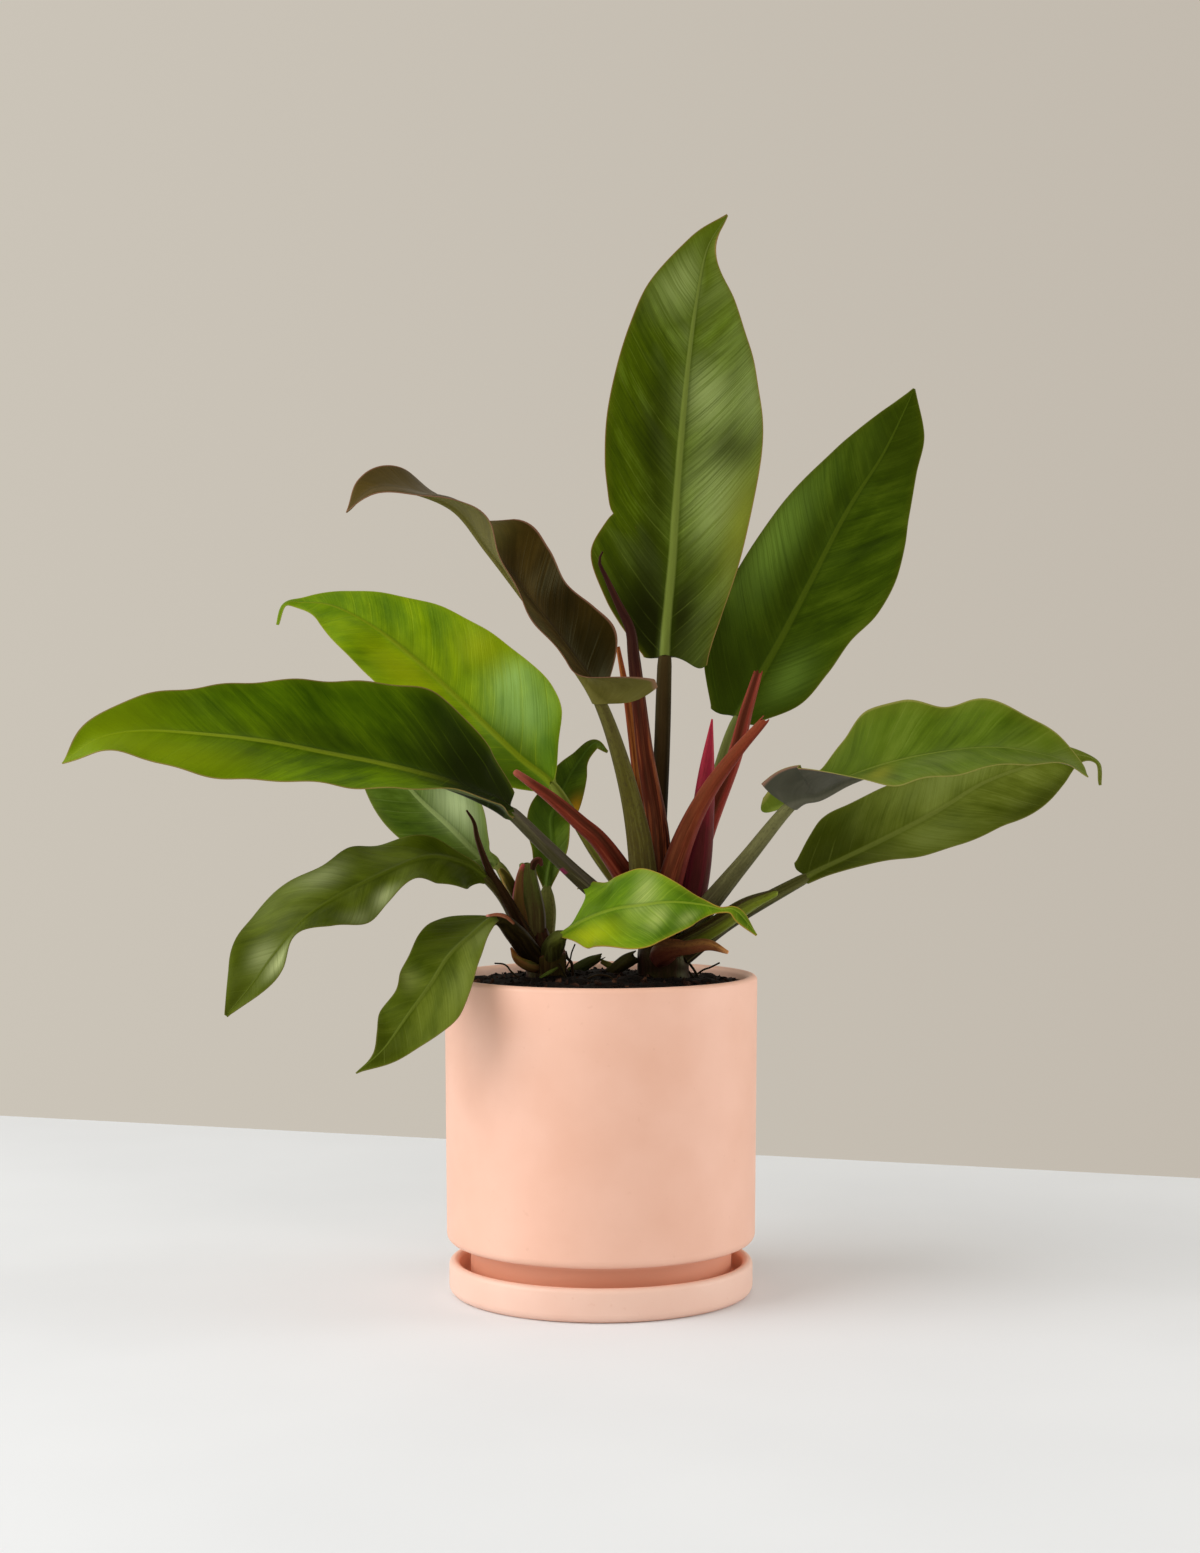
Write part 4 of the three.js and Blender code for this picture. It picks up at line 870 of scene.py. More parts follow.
def blade_surface(leaf, s, v):
    """Points of a blade's middle surface in mm, and their distances along and out from the rib"""
    axis, out, is_left = leaf["axis"], np.abs(v), v < 0
    left, right = leaf["left"], leaf["right"]
    length = axis.length * (1 - leaf["base_share"])
    lobe = np.where(is_left, left["lobe"], right["lobe"])
    far_out = out ** np.where(is_left, left.get("curl", LOBE_CURL), right.get("curl", LOBE_CURL))
    q = s - lobe / length * np.sin(math.pi * far_out / LOBE_CURL) * (1 - s) ** 4
    share = leaf["base_share"] + (1 - leaf["base_share"]) * np.maximum(q, 0)
    centre, tangent, normal, across = axis.frame(share)
    centre = centre + tangent * (np.minimum(q, 0) * length)[:, None]
    width = np.where(is_left, half_width(left["width"], q), half_width(right["width"], q))
    for side, at, depth, reach in leaf.get("notches", []):
        notch = depth * np.exp(-np.abs(q - at) / reach) * out ** 6
        width -= np.where(is_left == (side < 0), notch, 0)
    lift = np.where(is_left, along(left["lift"], q), along(right["lift"], q)) * out ** 1.5
    far, wide = q * length, out * width
    wave = math.tau * far / RUFFLE_MM + 2.2 * is_left + leaf["seed"]
    lift += leaf["ruffle"] * out ** 3 * np.sin(wave)
    points = centre + across * (v * width)[:, None] + normal * lift[:, None]
    return points, far, wide, width


def vein_phase(leaf, far, wide, v):
    """Distance along the rib at which the side vein through a point leaves the rib"""
    phase = far - VEIN_SWEEP * wide - VEIN_CURVE * wide ** 2
    offset = leaf["seed"] + 3 * (v < 0)
    return phase + 2.2 * np.sin(phase / 17 + offset) + 1.2 * np.sin(phase / 7.3 + 2 * offset)


print("side veins leave the rib at", round(math.degrees(math.atan(1 / VEIN_SWEEP))), "degrees")

# %% [markdown]
# The grid is quilted softly between its side veins, as the real blade is. The blade is 0.8 mm
# thick and thinner at its margin, and its rib stands up a little above and swells out below.
# Solidify gives the thickness, and gives the underside the second material. It can only count
# on to a material that is already there, so both skins are put on the grid first. The rib is
# then raised on both sides. The numbers that the materials need later, such as the distance
# from the margin, are kept on the points as attributes.

# %% Blades
# Rows and columns stand closer together at the base, the tip and the rib.
BLADE_COLUMNS, BLADE_ROWS = 132, 44
BLADE_THICKNESS = 0.8
RIB_RISE, RIB_SWELL = 0.42, 1.7
FADE_MM = 6


def tints(leaf, s, v):
    """How much painted sheen, painted shade and warm tint each point takes, from the patches in the
    leaf's table
    """
    total = np.zeros((len(s), 3))
    for kind, at_s, at_v, reach_s, reach_v, amount in leaf.get("patches", []):
        near = np.exp(-((s - at_s) / reach_s) ** 2 - ((v - at_v) / reach_v) ** 2)
        total[:, ("pale", "dark", "warm").index(kind)] += amount * near
    return total.clip(0, 1)


def make_blade(name, leaf, skins):
    piece, s, w = add_grid(name, BLADE_COLUMNS, BLADE_ROWS)
    for skin in skins:
        piece.data.materials.append(skin)
    s = 0.5 * s + 0.25 * (1 - np.cos(math.pi * s))
    v = 1 - 2 * w
    v = np.sign(v) * np.abs(v) ** 1.3
    points, far, wide, width = blade_surface(leaf, s, v)
    set_points(piece, points)
    normals = read_vectors(piece.data.vertex_normals, "vector")
    phase = vein_phase(leaf, far, wide, v)
    pillow = np.abs(np.sin(math.pi * phase / leaf["vein_gap"])) ** 0.7
    inset_mm = width - wide
    fade = np.clip(inset_mm / FADE_MM, 0, 1) * np.clip(wide / FADE_MM, 0, 1)
    number = leaf["number"]
    dents = 0.8 * ripple(points, 30, number) + 0.3 * ripple(points, 12, number + 50)
    points = points + normals * (leaf["quilt"] * pillow * fade + dents * fade)[:, None]
    set_points(piece, points)
    normals = read_vectors(piece.data.vertex_normals, "vector")
    rib = along(leaf["rib_radius"], s) * np.sqrt(np.clip(1 - s ** 4, 0.02, 1))

    # For the skin: where the side vein through a point starts, how far out the point is and on
    # which half; then its share of the length, and how far it is from the rib and the margin
    write_attribute(piece, "grain", np.stack([phase, wide, 7 * number + 3 * np.sign(v)], -1))
    write_attribute(piece, "place", np.stack([s, wide / rib, inset_mm], -1))
    write_attribute(piece, "across", v)
    write_attribute(piece, "tints", tints(leaf, s, v))

    wall = piece.modifiers.new("blade thickness", "SOLIDIFY")
    wall.thickness, wall.offset, wall.material_offset = BLADE_THICKNESS * MM, 0, 1
    only(piece)
    bpy.ops.object.modifier_apply(modifier=wall.name)
    half = BLADE_THICKNESS / 2 * (0.5 + 0.5 * np.clip(inset_mm / 2, 0, 1))
    swell = rib * np.exp(-(wide / (0.95 * rib)) ** 2)
    root = 1 + 1.3 * np.exp(-(far / 14) ** 2)
    upper = points + normals * (half + RIB_RISE * root * swell)[:, None]
    under = points - normals * (half + RIB_SWELL * swell)[:, None]
    set_points(piece, np.concatenate([upper, under]))
    return piece


print("a blade is", BLADE_THICKNESS, "mm thick, on a grid of", BLADE_COLUMNS, "by", BLADE_ROWS)

# %% [markdown]
# A stalk is a grid rolled round its curve, because a round bar bent after the fact would lose
# its groove. The edges that meet are merged, the ends are filled, and the faces are turned
# outwards. The same roll serves the stalks, bud sheaths, crowns and roots; only the reach of
# each ring, by its angle, differs.

# %% Rolled pieces
def roll(name, centres, rights, ups, reach, grain_far, shares, slide=0.0):
    """A closed tube through rings of points; reach has one row a ring and one column a side"""
    rings, sides = reach.shape
    piece, u, w = add_grid(name, rings - 1, sides)
    i = np.rint(u * (rings - 1)).astype(int)
    k = np.rint(w * sides).astype(int) % sides
    angle = math.tau * k / sides
    r = reach[i, k]
    x, y = r * np.cos(angle), r * np.sin(angle)
    slide = np.broadcast_to(slide, reach.shape)[i, k]
    along_ring = unit(np.cross(ups, rights))[i] * slide[:, None]
    set_points(piece, centres[i] + rights[i] * x[:, None] + ups[i] * y[:, None] + along_ring)
    write_attribute(piece, "grain", np.stack([grain_far[i], x, y], -1))
    write_attribute(piece, "place", np.stack([shares[i], np.sin(angle), r], -1))
    write_attribute(piece, "across", 0 * r)
    only(piece)
    bpy.ops.object.mode_set(mode="EDIT")
    bpy.ops.mesh.select_all(action="SELECT")
    bpy.ops.mesh.remove_doubles(threshold=1e-6)
    bpy.ops.mesh.fill_holes(sides=0)
    face_outwards()
    return piece


# The stalk runs on for 14 mm under the blade and thins there. The grain of each stalk starts
# 400 mm further on than the last one's, so that no two show the same pattern.
STALK_SIDES, STALK_RINGS = 22, 44
STALK_PAST_BASE, STALK_FULL_PAST = 14, 5
GRAIN_APART = 400


def make_stalk(name, leaf):
    """A leaf's stalk, which runs on under the blade and sinks into its rib"""
    axis, base = leaf["axis"], leaf["base_share"]
    shares = np.linspace(0, base + STALK_PAST_BASE / axis.length, STALK_RINGS)
    centres, tangents, normals, rights = axis.frame(shares)
    radius = along(leaf["radius"], shares / (base + STALK_FULL_PAST / axis.length))
    past = np.clip((shares - base) * axis.length / STALK_PAST_BASE + 0.35, 0, 1)
    past = past * past * (3 - 2 * past)
    centres = centres - normals * (0.4 * radius * past)[:, None]
    radius = radius * (1 - 0.5 * past)
    angle = math.tau * np.arange(STALK_SIDES) / STALK_SIDES
    up = np.clip(np.sin(angle), 0, 1)
    lips = 0.35 * np.exp(-((up - 0.6) / 0.2) ** 2)
    groove = leaf["groove"] * (1 - past)[:, None] * (up ** 6 - lips)
    reach = radius[:, None] * (1 - groove)
    far = shares * axis.length
    wobble = 0.012 * np.sin(far / 9 + leaf["seed"])[:, None] * radius[:, None]
    grain = far + GRAIN_APART * leaf["number"]
    return roll(name, centres, rights, normals, reach + wobble, grain, shares / shares[-1])


print("a stalk has", STALK_SIDES, "sides and", STALK_RINGS, "rings")

# %% [markdown]
# ## Leaf skin
#
# The blade of this plant is a tough leaf with a thin wax coat. The wax gives it a satin
# sheen with an IOR near 1.4, tinted by the skin just below, and fine pale veins leave the rib
# and sweep forward to the tip. One function builds the skin from a few named tones, because
# the leaves differ only in those: old ones are deep green, young ones lime or bronze. Its
# noise is stretched along the veins with the attributes of the blade, so the pattern bends
# with it. Then each layer is one line of a table: what is measured, from where to where it
# fades in, how much, and with which tone.
# Over that real gloss lies a painted sheen: pale clouds and patches in a colour of its own, where the
# lamps shine on the blade.

# %% Patterns that follow the veins of a blade
# The three numbers are how often the noise changes in 1 mm along the rib, outwards and from
# leaf to leaf. Streaks are some 1.5 mm wide, which is twice as coarse as the real ones so that
# they show, spots 2 mm, bands 6 mm, patches 25 mm and the clouds of painted sheen 50 mm.
WAX_IOR, WAX_SHINE = 1.4, 0.14
SHEEN = linear("#DEEA72")
VEIN_PATTERNS = {"streak": ((0.65, 0.025, 1), 2), "band": ((0.17, 0.012, 1), 2),
                 "patch": ((0.05, 0.035, 1), 4), "sheen_cloud": ((0.021, 0.02, 2.3), 2),
                 "spot": ((0.5, 0.5, 5), 1)}


def blade_patterns(tree):
    """Noise drawn along the veins, and the measures kept on the points of a blade"""
    grain = add_node(tree, "ShaderNodeAttribute", attribute_name="grain").outputs["Vector"]
    found = {}
    for name, (stretch, detail) in VEIN_PATTERNS.items():
        at = add_node(tree, "ShaderNodeVectorMath", {0: grain, 1: stretch}, operation="MULTIPLY")
        found[name] = add_node(tree, "ShaderNodeTexNoise",
                               {"Vector": at.outputs[0], "Scale": 1.0, "Detail": detail,
                                "Roughness": 0.6}).outputs[0]
    found["phase"] = add_node(tree, "ShaderNodeSeparateXYZ", {0: grain}).outputs[0]
    for attribute, names in (("place", ("share", "from_rib", "inset")),
                             ("tints", ("pale", "dark", "warm"))):
        kept = add_node(tree, "ShaderNodeAttribute", attribute_name=attribute).outputs["Vector"]
        parts = add_node(tree, "ShaderNodeSeparateXYZ", {0: kept})
        found.update(zip(names, parts.outputs))
    found["across"] = add_node(tree, "ShaderNodeAttribute", attribute_name="across").outputs["Fac"]
    return found


# %% Skin of a blade
def leaf_skin(name, tone):
    material, tree = new_material(name)
    seen = blade_patterns(tree)

    # The green itself: patches, bands and fine lines together choose from deep to light
    lines = tone.get("lines", 0.22)
    mixed = add_node(tree, "ShaderNodeMix", {0: lines, 2: seen["patch"], 3: seen["streak"]})
    mixed = add_node(tree, "ShaderNodeMix", {0: 0.08, 2: mixed.outputs[0], 3: seen["band"]})
    # side makes one half of the blade lighter and the other darker: painted light on the half that faces
    # the lamps
    mixed = add_node(tree, "ShaderNodeMath",
                     {0: seen["across"], 1: tone.get("side", 0.0), 2: mixed.outputs[0]},
                     operation="MULTIPLY_ADD").outputs[0]
    colour = add_node(tree, "ShaderNodeValToRGB", {0: mixed},
                      stops=[(0.35, linear(tone["deep"])), (0.5, linear(tone["mid"])),
                             (0.65, linear(tone["light"]))]).outputs[0]

    # Painted sheen in clouds and where the table puts pale patches, broken up by the
    # streaks; and thin side veins
    sheen_cloud = add_node(tree, "ShaderNodeMath", {0: seen["across"], 1: tone.get("sheen_cloud_side", 0.0),
                                              2: seen["sheen_cloud"]}, operation="MULTIPLY_ADD")
    sheen_cloud = add_node(tree, "ShaderNodeMapRange",
                     {"Value": sheen_cloud.outputs[0], "From Min": 0.44, "From Max": 0.74,
                      "To Max": tone.get("sheen_cloud", 0.4)})
    sheen_cloud = add_node(tree, "ShaderNodeMath", {0: sheen_cloud.outputs[0], 1: seen["pale"]},
                     operation="MAXIMUM")
    broken = add_node(tree, "ShaderNodeMapRange", {"Value": seen["streak"], "From Min": 0.36,
                                                   "From Max": 0.56, "To Min": 1 - 1.7 * lines})
    painted_sheen = add_node(tree, "ShaderNodeMath", {0: sheen_cloud.outputs[0], 1: broken.outputs[0]},
                   operation="MULTIPLY").outputs[0]
    vein_mm = add_node(tree, "ShaderNodeMath", {0: seen["phase"], 1: tone["vein_gap"] / 2},
                       operation="PINGPONG")
    vein = add_node(tree, "ShaderNodeMapRange", {"Value": vein_mm.outputs[0], "From Min": 0.7,
                                                 "From Max": 0.1, "To Max": 1.0})
    patchy = add_node(tree, "ShaderNodeMapRange", {"Value": seen["patch"], "From Min": 0.4,
                                                   "From Max": 0.62, "To Min": 0.15})
    vein = add_node(tree, "ShaderNodeMath", {0: vein.outputs[0], 1: patchy.outputs[0]},
                    operation="MULTIPLY").outputs[0]

    layers = (  # measure, faint at, full at, amount, tone
        # the painted sheen
        (painted_sheen, 0.0, 1.0, 1.0, tone["painted_sheen"]),
        # the tint at the base: the blade's own colour, and on the darker leaves also painted shade near
        # the crown
        (seen["share"], 0.3, 0.0, tone.get("base_amount", 0.6), tone["base"]),
        (seen["share"], 0.7, 1.0, tone.get("tip_amount", 0.6), tone["tip"]),
        (seen["warm"], 0.0, 1.0, 1.0, tone.get("warm", tone["edge"])),
        # the dark patches, which are painted shade
        (seen["dark"], 0.0, 1.0, 1.0, tone.get("dark", tone["deep"])),
        (vein, 0.0, 1.0, tone.get("vein_amount", 0.28), tone["vein"]),
        (seen["inset"], 4.5, 0.0, tone.get("edge_amount", 0.35), tone["edge"]),
        (seen["inset"], 0.7, 0.25, tone.get("margin_amount", 0.6), tone["margin"]),
        # painted shade along both flanks of the raised rib
        (seen["from_rib"], 2.0, 1.1, 0.3, tone["deep"]),
        (seen["from_rib"], 1.05, 0.65, tone.get("rib_amount", 0.7), tone["rib"]),
        (seen["spot"], 0.79, 0.83, tone.get("specks", 0.4), "#6E5324"),
    )
    if tone.get("rib_first"):  # then the two layers of the rib lie under all the others
        layers = layers[8:10] + layers[:8] + layers[10:]
    for measure, faint, full, amount, paint in layers:
        mask = add_node(tree, "ShaderNodeMapRange", {"Value": measure, "From Min": faint,
                                                     "From Max": full, "To Max": amount})
        colour = add_node(tree, "ShaderNodeMix", {0: mask.outputs[0], 6: colour, 7: linear(paint)},
                          data_type="RGBA").outputs[2]

    # Relief: the veins as faint grooves and a leathery grain of about 1.5 mm
    height = add_node(tree, "ShaderNodeMath", {0: vein, 1: -0.6, 2: seen["streak"]},
                      operation="MULTIPLY_ADD")
    relief = add_node(tree, "ShaderNodeBump",
                      {"Height": height.outputs[0], "Strength": 0.3, "Distance": 0.0006})
    gloss = tone.get("gloss", 0.34)
    rough = add_node(tree, "ShaderNodeMapRange",
                     {"Value": seen["patch"], "From Min": 0.3, "From Max": 0.7,
                      "To Min": gloss, "To Max": gloss + 0.12})
    surface = add_node(tree, "ShaderNodeBsdfPrincipled",
                       {"Base Color": colour, "Roughness": rough.outputs[0],
                        "Normal": relief.outputs[0], "IOR": WAX_IOR, "Specular Tint": SHEEN,
                        "Specular IOR Level": tone.get("shine", WAX_SHINE)})
    add_node(tree, "ShaderNodeOutputMaterial", {"Surface": surface.outputs[0]})
    return material


print("layers of a leaf's skin follow", len(VEIN_PATTERNS), "patterns")


# %% [markdown]
# Stalks and bud sheaths are juicy stems with a smooth skin. Fibres under it show as fine
# lengthwise lines about 1.6 mm apart, some skins are speckled with cork about 1 mm wide, and
# the groove on the upper side is darker. The colour runs from the foot to the tip.

# %% Skin of a stalk
def stalk_skin(name, tone):
    material, tree = new_material(name)
    grain = add_node(tree, "ShaderNodeAttribute", attribute_name="grain").outputs["Vector"]
    place = add_node(tree, "ShaderNodeAttribute", attribute_name="place").outputs["Vector"]
    share, turn, _ = add_node(tree, "ShaderNodeSeparateXYZ", {0: place}).outputs
    seen = {}
    for kind, stretch, detail in (("fibre", (0.02, 0.62, 0.62), 2), ("cloud", (0.05, 0.12, 0.12), 3),
                                  ("speck", (0.55, 1.1, 1.1), 2)):
        at = add_node(tree, "ShaderNodeVectorMath", {0: grain, 1: stretch}, operation="MULTIPLY")
        seen[kind] = add_node(tree, "ShaderNodeTexNoise",
                              {"Vector": at.outputs[0], "Scale": 1.0, "Detail": detail,
                               "Roughness": 0.6}).outputs[0]
    drift = add_node(tree, "ShaderNodeMath", {0: seen["cloud"], 1: 0.5, 2: share},
                     operation="MULTIPLY_ADD")
    drift = add_node(tree, "ShaderNodeMath", {0: drift.outputs[0], 1: 0.25}, operation="SUBTRACT")
    colour = add_node(tree, "ShaderNodeValToRGB", {0: drift.outputs[0]},
                      stops=[(0.0, linear(tone["foot"])), (0.5, linear(tone["middle"])),
                             (1.0, linear(tone["top"]))]).outputs[0]
    layers = (  # measure, faint at, full at, amount, tone
        (seen["fibre"], 0.5, 0.6, tone.get("streaks", 0.5), tone["streak"]),
        (seen["fibre"], 0.44, 0.34, tone.get("streaks", 0.5), tone["speck"]),
        (seen["speck"], 0.52, 0.66, tone.get("specks", 0.15), tone["speck"]),
        (turn, 0.72, 0.95, tone.get("grooves", 0.4), tone["groove"]),
        (turn, 0.5, 0.15, tone.get("rims", 0.0), tone.get("rim", tone["streak"])),
        (share, 0.45, 0.7, tone.get("top_amount", 0.0), tone["top"]),
        (share, 0.9, 1.0, tone.get("end_amount", 0.0), tone.get("end", tone["top"])),
    )
    for measure, faint, full, amount, paint in layers:
        mask = add_node(tree, "ShaderNodeMapRange", {"Value": measure, "From Min": faint,
                                                     "From Max": full, "To Max": amount})
        colour = add_node(tree, "ShaderNodeMix", {0: mask.outputs[0], 6: colour, 7: linear(paint)},
                          data_type="RGBA").outputs[2]
    if "blotch" in tone:  # a crimson ring at one place, on the lower side
        away = add_node(tree, "ShaderNodeMath", {0: share, 1: tone["blotch"], 2: 0.018},
                        operation="COMPARE")
        spots = add_node(tree, "ShaderNodeMapRange", {"Value": turn, "From Min": 0.5,
                                                      "From Max": 0.1, "To Max": 0.8})
        mask = add_node(tree, "ShaderNodeMath", {0: away.outputs[0], 1: spots.outputs[0]},
                        operation="MULTIPLY")
        colour = add_node(tree, "ShaderNodeMix",
                          {0: mask.outputs[0], 6: colour, 7: linear("#8A2A54")},
                          data_type="RGBA").outputs[2]
    relief = add_node(tree, "ShaderNodeBump",
                      {"Height": seen["fibre"], "Strength": 0.5, "Distance": 0.0006})
    rough = add_node(tree, "ShaderNodeMapRange",
                     {"Value": seen["speck"], "To Min": 0.36, "To Max": 0.56})
    surface = add_node(tree, "ShaderNodeBsdfPrincipled",
                       {"Base Color": colour, "Roughness": rough.outputs[0],
                        "Normal": relief.outputs[0], "IOR": WAX_IOR, "Specular Tint": SHEEN,
                        "Specular IOR Level": tone.get("shine", WAX_SHINE)})
    add_node(tree, "ShaderNodeOutputMaterial", {"Surface": surface.outputs[0]})
    return material


print("a stalk's skin follows its fibres")


# %% [markdown]
# ## The tones of each leaf
#
# The tones were chosen for each leaf: deep, mid and light green of the blade, the colour of
# its painted sheen, tints at base and tip, rib, veins and margin, then the underside and the
# stalk. On the darker leaves the tint at the base is partly painted shade, where the blade
# meets the crown. The same table says how strongly each blade is ruffled and quilted.

